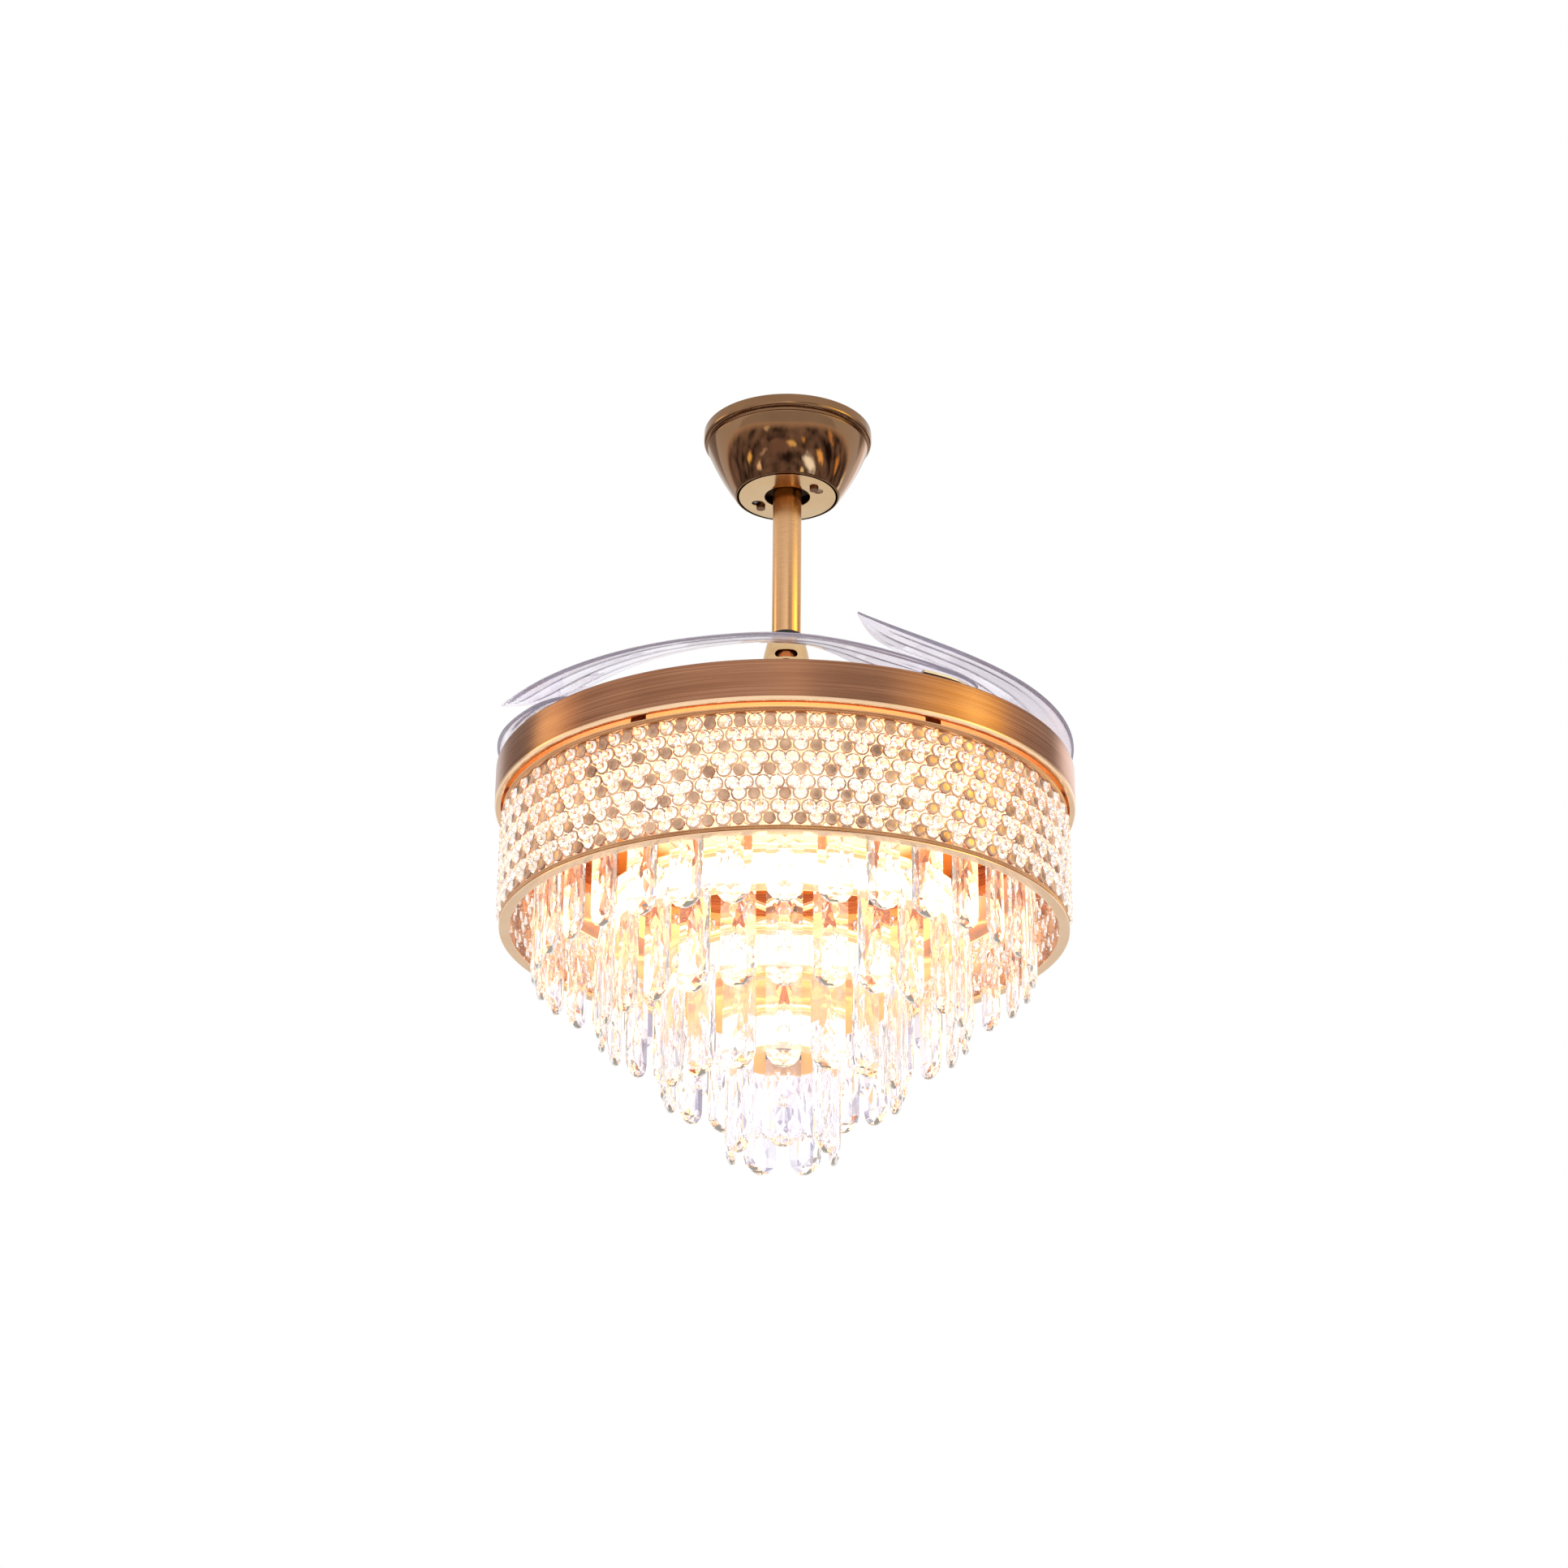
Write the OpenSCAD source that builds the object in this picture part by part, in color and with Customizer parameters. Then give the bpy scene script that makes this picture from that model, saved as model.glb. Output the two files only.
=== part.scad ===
// Retractable blade ceiling fan with a crystal drum light, hung on a downrod.
// The origin is the middle of the ceiling face, +Z is up, so the fan hangs below zero.
// The camera side is -Y. An azimuth of 0 points to -Y and grows anticlockwise seen from above.

/* [Canopy] */
// Radius of the canopy's rim at the ceiling
canopy_rim_r = 76; // [72:0.5:90]
// Height of the canopy from the ceiling to its bottom plate
canopy_drop = 63.4; // [61:0.1:72]
// Radius of the flat bottom plate
canopy_plate_r = 46.5; // [43:0.5:56]
// Sheet thickness of the canopy
canopy_wall = 1.2; // [0.8:0.1:2]
// Height of the upright lip at the rim
canopy_lip_h = 7.5; // [4:0.5:10]
// How far the dome bulges out from a straight cone
canopy_bulge = 1.5; // [0.5:0.5:6]
// Gap round the downrod in the bottom plate
canopy_rod_gap = 7.65; // [6:0.05:10]
// Distance of each canopy screw from the centre
keyhole_r = 30; // [28:0.5:33]
// Turn that brings the screw heads to the wide ends of the slots
unlock_angle = 14; // [12:1:20]

/* [Canopy screws] */
// Radius of a screw's shank
screw_shank_r = 2; // [1.5:0.1:2.5]
// Radius of a screw's head
screw_head_r = 4; // [3.4:0.1:4.6]
// Height of a screw's head
screw_head_h = 2.4; // [1.5:0.1:4]

/* [Ceiling bracket] */
// Radius of the plate that lies on the ceiling
plate_r = 62; // [58:0.5:68]
// Thickness of the plate and of its two straps
plate_t = 2; // [1.5:0.1:3]
// Distance between the two ceiling bolts
bolt_spacing = 100; // [90:1:106]
// Radius of a ceiling bolt's hole
bolt_hole_r = 3.25; // [2:0.05:4.5]
// Radius of the hole that the ceiling cable comes through
cable_hole_r = 9; // [5:0.5:11]
// Width of each strap
strap_w = 16; // [12:1:20]
// Outer radius of the cup that holds the hanger ball
cup_r = 30; // [29:0.2:31.4]

/* [Hanger ball] */
// Radius of the hanger ball
ball_r = 22; // [21:0.1:23]
// Distance of the ball's centre below the ceiling
ball_drop = 32; // [30:0.5:34]
// Thickness of the slippery seat ring between ball and cup
seat_t = 2.5; // [1.5:0.1:2.8]
// Radius of the cross pin through ball and rod
ball_pin_r = 2.5; // [1.5:0.1:4]

/* [Downrod] */
// Outer radius of the downrod
rod_r = 12.85; // [11:0.05:13.5]
// Wall of the downrod
rod_wall = 1.6; // [1:0.1:3]
// Distance from the ceiling to the top of the bell cover
rod_drop = 210; // [150:5:400]
// Length of rod inside the bell cover
rod_insert = 28; // [24:1:34]
// Height of the black rubber collar
collar_h = 8; // [4:1:14]

/* [Bell cover] */
// Height of the bell cover
bell_h = 64; // [58:1:76]
// Radius of the bell at its top
bell_top_r = 17; // [17:0.2:19]
// Radius of the bell at its rim
bell_rim_r = 46; // [40:0.5:56]
// Sheet thickness of the bell
bell_wall = 1.2; // [0.8:0.1:2]
// Outer radius of the coupling yoke
yoke_r = 15.8; // [15.2:0.1:16]
// Radius of the clevis pin through yoke and rod
yoke_pin_r = 3; // [2:0.1:4]
// Width of the oval window in the bell
window_w = 20; // [16:0.5:22]
// Height of the oval window
window_h = 8; // [6:0.5:9]
// Radius of the round wiring hole under the window
wiring_hole_r = 14; // [10:0.5:15]

/* [Motor] */
// Outer radius of the turning motor case
case_r = 86; // [80:0.5:90]
// Height of the motor case
case_h = 60; // [56:1:70]
// Wall of the motor case
case_wall = 3; // [2:0.1:4]
// Gap between the bell's rim and the motor case
case_gap = 8; // [3:0.5:15]
// Radius of the fixed hollow shaft
shaft_r = 7.5; // [6.5:0.1:8]
// Wall of the hollow shaft
shaft_wall = 2.5; // [1.5:0.1:3]
// Outer radius of a ball bearing
bearing_r = 17.5; // [15:0.1:19]
// Height of a ball bearing
bearing_h = 11; // [8:0.5:12]
// Thickness of the magnet ring
magnet_t = 10.4; // [6:0.2:14]
// Air gap between the magnet ring and the stator
air_gap = 1; // [0.6:0.1:2]
// Height of the stator's iron
stator_h = 24; // [16:1:24]
// Number of stator poles
pole_count = 12; // [9:3:15]

/* [Blade carrier] */
// Width of the motor case's flange that the synchronising gear turns on
flange_w = 10; // [8:0.2:14]
// Radius of the carrier disc
carrier_r = 212; // [208:0.5:220]
// Thickness of the carrier disc
carrier_t = 2; // [1.5:0.1:3]
// Radius of the circle of blade pivots
pivot_r = 175; // [172:0.5:178]
// Radius of a pivot stud
stud_r = 5; // [4:0.1:6]
// Outer radius of a blade arm's hub
hub_r = 9; // [8:0.1:10]

/* [Synchronising gear] */
// Height of the gear's teeth across their width
gear_t = 4; // [3:0.1:4.2]
// Teeth on a full circle of the gear
gear_teeth = 112; // [112:4:112]
// Teeth on a full circle of a blade's pinion
pinion_teeth = 28; // [28:1:28]
// Slack between meshing teeth at the pitch circle
tooth_slack = 0.4; // [0.2:0.05:0.8]

/* [Blades] */
// Number of blades
blade_count = 4; // [4:1:4]
// Azimuth of the first blade's tip, blades closed
first_tip_az = -77; // [-90:1:-60]
// Angle from a blade's tip to its pivot
pivot_back = 117.3; // [114:0.1:118]
// Angle that a closed blade covers
blade_span = 119; // [118:0.5:121]
// Width of a blade near its tip
blade_w = 74; // [60:1:80]
// How much narrower a blade is at its root
blade_narrowing = 22; // [10:1:26]
// Thickness of the clear sheet
blade_t = 3; // [2:0.1:4]
// Angle by which the inner edge is turned up
blade_pitch = 19; // [8:0.5:21]
// Height of the middle of a blade over its root
blade_rise = 15; // [10:0.5:22]
// Further height of the tip
tip_lift = 22; // [10:0.5:26]
// Rise of the curve across a blade
blade_camber = 1.6; // [0:0.1:3]

/* [Band] */
// Outer radius of the band
band_r = 250; // [246:0.5:262]
// Height of the band
band_h = 36; // [30:1:48]
// Sheet thickness of the band
band_wall = 1.2; // [0.8:0.1:2]
// Width of the band's top flange
band_flange_w = 12; // [6:0.5:14]
// Height of the driver pan below the band's top
pan_drop = 9.8; // [9.6:0.2:16]

/* [Drum] */
// How much smaller than the band the pierced drum is, in radius
drum_inset = 10; // [6:0.5:14]
// Height of the pierced drum between its trims
drum_h = 96; // [90:1:110]
// Sheet thickness of the drum
drum_wall = 1.2; // [0.8:0.1:2]
// Height of the drum's top trim
top_trim_h = 5; // [3:0.5:8]
// Height of the drum's bottom trim
bottom_trim_h = 5.7; // [4:0.1:8]
// Gap between the band and the drum's top trim
drum_gap = 2; // [1:0.5:6]
// Width of the flat ring under the drum
rim_ring_w = 9; // [5:0.5:12]
// Number of bead groups round the drum
bead_groups = 62; // [48:2:62]
// Radius of a glass bead
bead_r = 5.5; // [4.5:0.1:5.6]
// Depth of a glass bead
bead_depth = 5; // [3:0.5:8]
// Distance between the rows of bead groups
bead_row_step = 20.8; // [20:0.2:22]

/* [Crystal tiers] */
// Distance from the drum to the widest ring of crystals
tier_inset = 30; // [26:0.5:34]
// Radius of the smallest ring of crystals
last_ring_r = 44.1; // [42:0.1:48]
// How much lower each next ring hangs
tier_step = 50; // [46:1:60]
// Distance of the first hoop's top below the band's top
first_hoop_drop = 69; // [60:1:80]
// Height of a hoop
hoop_h = 38; // [30:1:44]
// Sheet thickness of a hoop
hoop_wall = 1.2; // [0.8:0.1:2]
// Distance from a hoop to the middle of its crystals
hoop_gap = 9; // [7.5:0.5:12]
// Crystals in the first ring
crystals_1 = 33; // [24:1:36]
// Crystals in the second ring
crystals_2 = 26; // [18:1:28]
// Crystals in the third ring
crystals_3 = 17; // [12:1:18]
// Crystals in the fourth ring
crystals_4 = 7; // [5:1:7]
// Length of a crystal
crystal_len = 100; // [80:1:120]
// Width of a crystal
crystal_w = 29.5; // [24:0.5:32]
// Thickness of a crystal at its ridge
crystal_t = 9; // [5:0.5:12]
// Radius of the eight-sided bead above a crystal
link_r = 6.8; // [5:0.1:8]
// Radius of the wire pins
pin_r = 0.6; // [0.4:0.05:1]
// Outer radius of the middle stem
stem_r = 10; // [8:0.2:12]

/* [Hidden] */
$fn = 64;

// Clearances
cut = 1;            // overshoot of a cutter past the face that it opens
seat_gap = 0.3;     // between curved faces of two bodies
fit = 0.1;          // between a piece and the hole that it is fixed in
running = 0.03;     // between the shaft and a bearing, and a stud and its hub
rest_gap = 0.2;     // between two flat faces that pass each other

// Colours
gold = "#C89060";
satin_gold = "#D8AC7C";
bronze = "#9A6E4C";
steel = "#9AA0A6";
copper = "#B5653A";
clear = [0.86, 0.86, 0.94, 0.45];
glass = [1, 0.97, 0.92, 0.6];

// Bracket, canopy and ball
screw_az = 53;
groove_in = 4.2;
groove_h = 5;
shoulder_in = 3.5;   // how far the dome's top edge lies inside the rim
canopy_hole_r = rod_r + canopy_rod_gap;
plate_top_z = -canopy_drop + canopy_wall;
foot_z = plate_top_z + seat_gap;
slot_half = screw_shank_r + seat_gap;
entry_r = screw_head_r + seat_gap + rest_gap;
strap_r = keyhole_r + screw_shank_r + 4;
foot_in = 7;
cable_y = plate_r / 2 + 3;
block_size = [26, 12, 13];
block_az = 323;
block_r = 42;
ball_z = -ball_drop;
seat_in_r = ball_r + seat_gap;
seat_out_r = seat_in_r + seat_t;
cup_in_r = seat_out_r + seat_gap;
seat_top = ball_z - 9;
seat_h = 6;
cup_top = seat_top + 1;
cup_h = seat_h + 2;
ball_flat = 18;

// Downrod and bell
rod_top_z = ball_z + ball_flat;
bell_z = -rod_drop;
rod_end_z = bell_z - rod_insert;
bell_rim_z = bell_z - bell_h;
yoke_top_z = bell_z - 6;
yoke_bottom_z = bell_z - bell_h + 12;
yoke_pin_z = bell_z - 18;
window_z = bell_z - 18;
wiring_hole_z = window_z - window_h / 2 - 2 - wiring_hole_r;
yoke_flange_t = 2.5;
yoke_flange_z = bell_rim_z + 0.5;

// Motor
case_top_z = bell_rim_z - case_gap;
case_bottom_z = case_top_z - case_h;
split_z = case_top_z - case_h / 2;
flange_t = 6;
boss_r = 4.5;
case_screw_r = case_r - case_wall - boss_r - 1.5;
magnet_out_r = case_screw_r - boss_r - fit;
magnet_in_r = magnet_out_r - magnet_t;
stator_r = magnet_in_r - air_gap;
stator_z = case_top_z - case_h / 2 + 2;
shaft_top_z = bell_rim_z + 10;
flange_r = case_r + flange_w;
bore_r = shaft_r + fit;
bearing_seat_r = bearing_r + fit / 2;
bearing_top_z = case_top_z - case_wall - 1;
bearing_low_z = case_bottom_z + case_wall + bearing_h + 1;

// Blade carrier, gear and arms
tooth_module = 2 * pivot_r / (gear_teeth + pinion_teeth);
pivot_az = first_tip_az + pivot_back;
gear_bottom_z = case_bottom_z + seat_gap;
gear_top_z = gear_bottom_z + gear_t;
gear_bore_r = flange_r + fit;
arm_z = gear_top_z + seat_gap;
arm_t = 2.2;
arm_top_z = arm_z + arm_t;
root_z = arm_top_z + rest_gap;
hub_h = 20;
hub_top_z = gear_bottom_z + hub_h;
stud_cap_h = 3;
spring_wire_r = 0.9;
spring_sides = 8;      // straight stretches in one turn
spring_coil_r = (hub_r + 0.4 + spring_wire_r) / cos(180 / spring_sides);
spring_turns = 4;
spring_pitch = 2.5;
spring_z = arm_top_z + spring_wire_r + 0.5;
fold_angle = 140;

// Band, drum and light
band_top_z = case_bottom_z + 1;
band_bottom_z = band_top_z - band_h;
pan_t = 1.2;
pan_z = band_top_z - pan_drop;
pan_r = band_r - band_wall - fit;
shaft_end_z = pan_z - pan_t - 20;
drum_r = band_r - drum_inset;
tier_r = drum_r - tier_inset;
trim_top_z = band_bottom_z - drum_gap;
drum_top_z = trim_top_z - top_trim_h;
drum_bottom_z = drum_top_z - drum_h;
rim_z = drum_bottom_z - bottom_trim_h;
hanger_r = drum_r - drum_wall - 1.4;
bead_top_z = drum_top_z - 6;
trefoil_z = drum_top_z - 22;
trefoil_rows = 4;
trefoil_x = bead_r * 0.98;
trefoil_up = bead_r * 0.8;
hoop_top_z = band_top_z - first_hoop_drop;
tier_count = 4;
tier_in = (tier_r - last_ring_r) / (tier_count - 1);
crystal_counts = [crystals_1, crystals_2, crystals_3, crystals_4];
pin_len = 6;
link_flat = link_r * cos(22.5);
link_depth = 7;
crystal_edge = 1.3;
shoulder_w = 8;
shoulder_h = 9;
nut_r = 14;
stem_top_z = pan_z - pan_t - 10;
stem_end_z = hoop_top_z - (tier_count - 1) * tier_step - 32;
lead_r = 1;

function polar(r, az) = r * [sin(az), -cos(az)];
function ease(x) = let (c = min(1, max(0, x))) c * c * (3 - 2 * c);
function unit(v) = v / norm(v);
function tier_radius(k) = tier_r - tier_in * (k - 1);
function tier_top(k) = hoop_top_z - tier_step * (k - 1);
function hoop_radius(k) = tier_radius(k) - hoop_gap;
function crystal_top(k) = tier_top(k) - hoop_wall - 2 * pin_len / 2 - 2 * link_flat - pin_len / 2;

// A circular arc from p to q that stands "bulge" off the chord, to the right of p-q
function arc_radius(p, q, bulge) = (bulge * bulge + norm(q - p) * norm(q - p) / 4) / (2 * bulge);
function arc_side(p, q) = let (dir = unit(q - p)) [dir.y, -dir.x];
function arc_centre(p, q, bulge) = (p + q) / 2 + arc_side(p, q) * (bulge - arc_radius(p, q, bulge));
function arc_points(p, q, bulge, steps) =
    let (r = arc_radius(p, q, bulge), half = asin(norm(q - p) / 2 / r))
    [for (i = [0:steps]) let (a = -half + 2 * half * i / steps)
        arc_centre(p, q, bulge) + r * (arc_side(p, q) * cos(a) + unit(q - p) * sin(a))];

module at_az(az, r = 0, z = 0) {
    rotate([0, 0, az]) translate([0, -r, z]) children();
}

// Ring about Z between two radii and two heights
module ring(inner, outer, low, high) {
    rotate_extrude() translate([inner, low]) square([outer - inner, high - low]);
}

module ring_sector(inner, outer, low, high, from, angle) {
    rotate([0, 0, from - 90]) rotate_extrude(angle = angle)
        translate([inner, low]) square([outer - inner, high - low]);
}

// Tube of triangles along a list of points; ref is never along the path
function path_tangent(p, i) = unit(p[min(i + 1, len(p) - 1)] - p[max(i - 1, 0)]);
function path_ring(p, i, r, sides, ref) =
    let (t = path_tangent(p, i), u = unit(cross(t, ref)), v = cross(t, u))
    [for (k = [0:sides - 1]) p[i] + r * (cos(360 * k / sides) * u + sin(360 * k / sides) * v)];

module tube_along(p, r, sides, ref) {
    last = (len(p) - 1) * sides;
    walls = [for (i = [0:len(p) - 2], k = [0:sides - 1])
        let (a = i * sides + k, b = i * sides + (k + 1) % sides)
        each [[a, b + sides, b], [a, a + sides, b + sides]]];
    start_cap = [for (k = [1:sides - 2]) [0, k, k + 1]];
    end_cap = [for (k = [1:sides - 2]) [last, last + k + 1, last + k]];
    polyhedron([for (i = [0:len(p) - 1]) each path_ring(p, i, r, sides, ref)],
        concat(walls, start_cap, end_cap));
}

// ---- Ceiling bracket ----
module bracket_strap() {
    translate([-strap_w / 2, -strap_r - plate_t, foot_z])
        cube([strap_w, plate_t, -foot_z - plate_t / 2]);
    difference() {
        translate([-strap_w / 2, -strap_r - plate_t, foot_z])
            cube([strap_w, strap_r + plate_t - keyhole_r + foot_in, plate_t]);
        translate([0, -keyhole_r, foot_z - cut])
            cylinder(r = screw_shank_r + fit, h = plate_t + 2 * cut);
    }
    translate([-strap_w / 2, -strap_r - plate_t / 2, cup_top - cup_h])
        cube([strap_w, strap_r - cup_r + 2 + plate_t / 2, plate_t]);
}

module hanger_bracket() {
    color(steel) {
        difference() {
            ring(0, plate_r, -plate_t, 0);
            for (side = [-1, 1]) translate([side * bolt_spacing / 2, 0, -plate_t - cut])
                cylinder(r = bolt_hole_r, h = plate_t + 2 * cut);
            translate([0, cable_y, -plate_t - cut])
                cylinder(r = cable_hole_r, h = plate_t + 2 * cut);
        }
        for (turn = [0, 180]) rotate([0, 0, screw_az + turn]) bracket_strap();
        difference() {
            ring(cup_in_r - 8, cup_r, cup_top - cup_h, cup_top);
            translate([0, 0, ball_z]) sphere(r = cup_in_r);
        }
    }
}

module canopy_screws() {
    color(bronze) for (turn = [0, 180]) at_az(screw_az + turn, keyhole_r) {
        translate([0, 0, -canopy_drop - fit - screw_head_h]) cylinder(r = screw_head_r, h = screw_head_h);
        translate([0, 0, -canopy_drop - fit - 0.01])
            cylinder(r = screw_shank_r, h = canopy_drop + fit + foot_z + plate_t + 4);
    }
}

module terminal_block() {
    color("ivory") at_az(block_az, block_r, -plate_t - block_size.z)
        translate([-block_size.x / 2, -block_size.y / 2, 0]) cube(block_size);
}

// ---- Canopy ----
module canopy_profile() {
    lip = -canopy_lip_h;
    dome_z = lip - groove_h - 2;
    outer = arc_points([canopy_rim_r - shoulder_in, dome_z], [canopy_plate_r + 1, -canopy_drop + 1.5],
        -canopy_bulge, 10);
    inner = arc_points([canopy_rim_r - shoulder_in - 1.2 * canopy_wall, dome_z],
        [canopy_plate_r + 1 - 1.2 * canopy_wall, plate_top_z + 1.5], -canopy_bulge, 10);
    polygon(concat(
        [[canopy_rim_r, 0], [canopy_rim_r, lip], [canopy_rim_r - 0.3 * groove_in, lip - groove_h / 2],
         [canopy_rim_r - groove_in, lip - groove_h / 2 - 1],
         [canopy_rim_r - groove_in, dome_z + 1]],
        outer,
        [[canopy_plate_r, -canopy_drop], [canopy_hole_r, -canopy_drop],
         [canopy_hole_r, plate_top_z], [canopy_plate_r - canopy_wall, plate_top_z]],
        [for (i = [len(inner) - 1:-1:0]) inner[i]],
        [[canopy_rim_r - groove_in - canopy_wall, dome_z + 1],
         [canopy_rim_r - groove_in - canopy_wall, 0]]));
}

module canopy() {
    color(bronze) difference() {
        rotate_extrude() canopy_profile();
        for (turn = [0, 180]) {
            at_az(screw_az + turn, keyhole_r, -canopy_drop - cut)
                cylinder(r = slot_half, h = canopy_wall + 2 * cut);
            at_az(screw_az + turn + unlock_angle, keyhole_r, -canopy_drop - cut)
                cylinder(r = entry_r, h = canopy_wall + 2 * cut);
            ring_sector(keyhole_r - slot_half, keyhole_r + slot_half, -canopy_drop - cut,
                plate_top_z + cut, screw_az + turn, unlock_angle);
        }
    }
}

// ---- Hanger ball and downrod ----
module ball_seat_ring() {
    color("whitesmoke") difference() {
        intersection() {
            translate([0, 0, ball_z]) sphere(r = seat_out_r);
            ring(0, seat_out_r + cut, seat_top - seat_h, seat_top);
        }
        translate([0, 0, ball_z]) sphere(r = seat_in_r);
    }
}

module cross_hole(r, z, reach) {
    translate([0, reach, z]) rotate([90, 0, 0]) cylinder(r = r, h = 2 * reach);
}

module hanger_ball() {
    color("dimgray") difference() {
        intersection() {
            translate([0, 0, ball_z]) sphere(r = ball_r);
            ring(0, ball_r + cut, ball_z - ball_flat, ball_z + ball_flat);
        }
        translate([0, 0, ball_z - ball_flat - cut]) cylinder(r = rod_r + fit, h = 2 * ball_flat + 2 * cut);
        cross_hole(ball_pin_r + fit, ball_z, ball_r + cut);
    }
}

module ball_pin() {
    color(steel) cross_hole(ball_pin_r, ball_z, ball_r - 1);
}

module downrod() {
    color(satin_gold) difference() {
        ring(rod_r - rod_wall, rod_r, rod_end_z, rod_top_z);
        cross_hole(ball_pin_r + fit, ball_z, rod_r + cut);
        cross_hole(yoke_pin_r + fit, yoke_pin_z, rod_r + cut);
    }
}

module rod_collar() {
    color("#171514") rotate_extrude() polygon([
        [rod_r + fit, bell_z], [bell_top_r - 0.5, bell_z], [bell_top_r - 0.9, bell_z + collar_h * 0.3],
        [rod_r + 1.2, bell_z + collar_h], [rod_r + fit, bell_z + collar_h]]);
}

// ---- Bell cover and coupling ----
bell_waist = [bell_top_r + 2.5, bell_z - bell_h * 0.17];
bell_rim = [bell_rim_r, bell_rim_z];
bell_flare = 5;
function bell_outer_r(z) =
    let (c = arc_centre(bell_waist, bell_rim, bell_flare), r = arc_radius(bell_waist, bell_rim, bell_flare))
    c.x - sqrt(r * r - (z - c.y) * (z - c.y));

module bell_profile() {
    outer = concat([[bell_top_r, bell_z]], arc_points(bell_waist, bell_rim, bell_flare, 8));
    polygon(concat(outer, [for (i = [len(outer) - 1:-1:0]) outer[i] - [bell_wall, 0]]));
}

module coupling_cover() {
    window_flat = window_w - window_h;
    color(satin_gold) difference() {
        rotate_extrude() bell_profile();
        translate([0, 0, window_z]) rotate([90, 0, 0]) {
            for (side = [-1, 1]) translate([side * window_flat / 2, 0, 0])
                cylinder(r = window_h / 2, h = bell_rim_r);
            translate([-window_flat / 2, -window_h / 2, 0]) cube([window_flat, window_h, bell_rim_r]);
        }
        translate([0, 0, wiring_hole_z]) rotate([90, 0, 0]) cylinder(r = wiring_hole_r, h = bell_rim_r);
    }
}

module coupling_yoke() {
    flange_edge = bell_outer_r(yoke_flange_z + yoke_flange_t) - bell_wall - seat_gap - rest_gap;
    color(copper) difference() {
        union() {
            ring(rod_r + fit, yoke_r, rod_end_z - 0.01, yoke_top_z);
            ring(bore_r, yoke_r, yoke_bottom_z, rod_end_z);
            ring(bore_r, yoke_r + 4, bell_rim_z, yoke_bottom_z);
            ring(bore_r, flange_edge, yoke_flange_z, yoke_flange_z + yoke_flange_t);
        }
        cross_hole(yoke_pin_r + fit, yoke_pin_z, yoke_r + cut);
    }
}

module yoke_pin() {
    color(copper) {
        cross_hole(yoke_pin_r, yoke_pin_z, yoke_r + 0.8);
        translate([0, -yoke_r - fit, yoke_pin_z]) rotate([90, 0, 0]) cylinder(r = yoke_pin_r + 1, h = 1.5);
    }
}

// ---- Motor: fixed shaft and stator ----
module motor_shaft() {
    color(steel) ring(shaft_r - shaft_wall, shaft_r, shaft_end_z, shaft_top_z);
}

module stator_core() {
    color("#6F7478") {
        ring(bore_r, stator_r / 2, stator_z - stator_h / 2, stator_z + stator_h / 2);
        for (i = [0:pole_count - 1]) at_az(i * 360 / pole_count, 0, stator_z - stator_h / 2) {
            translate([-3, -stator_r + 2, 0]) cube([6, stator_r / 2, stator_h]);
            translate([-7, -stator_r + 0.5, 0]) cube([14, 2.5, stator_h]);
        }
    }
}

module stator_coils() {
    tall = stator_h + 8;
    color(copper) for (i = [0:pole_count - 1]) at_az(i * 360 / pole_count, 0, stator_z) {
        difference() {
            translate([-6.5, -stator_r + 4, -tall / 2]) cube([13, stator_r / 2 - 6, tall]);
            translate([-3 - fit, -stator_r + 4 - cut, -stator_h / 2 - fit])
                cube([6 + 2 * fit, stator_r / 2 - 6 + 2 * cut, stator_h + 2 * fit]);
        }
    }
}

// ---- Motor: turning case ----
module case_screw_places() {
    for (i = [0:3]) at_az(pivot_az + 45 + 90 * i, case_screw_r) children();
}

module rotor_upper_shell() {
    shoulder = arc_points([case_r, split_z], [bearing_seat_r + 12, case_top_z], 16, 8);
    inner = arc_points([case_r - case_wall, split_z],
        [bearing_seat_r + 12, case_top_z - case_wall], 15, 8);
    color("#B9BDC2") difference() {
        union() {
            rotate_extrude() polygon(concat(shoulder,
                [[bore_r + 2, case_top_z], [bore_r + 2, case_top_z - case_wall]],
                [for (i = [len(inner) - 1:-1:0]) inner[i]]));
            ring(bearing_seat_r, bearing_seat_r + 5, bearing_top_z - bearing_h, case_top_z - case_wall + 0.01);
        }
        case_screw_places() translate([0, 0, split_z - cut])
            cylinder(r = screw_shank_r + fit, h = case_h);
        case_screw_places() translate([0, 0, split_z + 10])
            cylinder(r = screw_head_r + fit, h = case_h);
    }
}

module rotor_lower_shell() {
    color("#A9ADB2") {
        ring(case_r - case_wall, case_r, case_bottom_z, split_z);
        ring(bearing_seat_r, case_r, case_bottom_z, case_bottom_z + case_wall);
        ring(case_r - cut, flange_r, case_bottom_z, case_bottom_z + flange_t);
        ring(bearing_seat_r, bearing_seat_r + 5, case_bottom_z, bearing_low_z);
        case_screw_places() difference() {
            translate([0, 0, case_bottom_z + 1]) cylinder(r = boss_r, h = split_z - case_bottom_z - 1);
            translate([0, 0, split_z - 20]) cylinder(r = screw_shank_r + fit, h = 20 + cut);
        }
    }
}

module rotor_bearings() {
    color(steel) for (top = [bearing_top_z, bearing_low_z])
        ring(shaft_r + running, bearing_r, top - bearing_h, top);
}

module magnet_ring() {
    color("#4A4C50") ring(magnet_in_r, magnet_out_r, stator_z - stator_h / 2 - 3, stator_z + stator_h / 2 + 3);
}

module rotor_screws() {
    color(steel) case_screw_places() {
        translate([0, 0, split_z - 18]) cylinder(r = screw_shank_r, h = 28.1);
        translate([0, 0, split_z + 10]) cylinder(r = screw_head_r, h = screw_head_h);
    }
}

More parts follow.
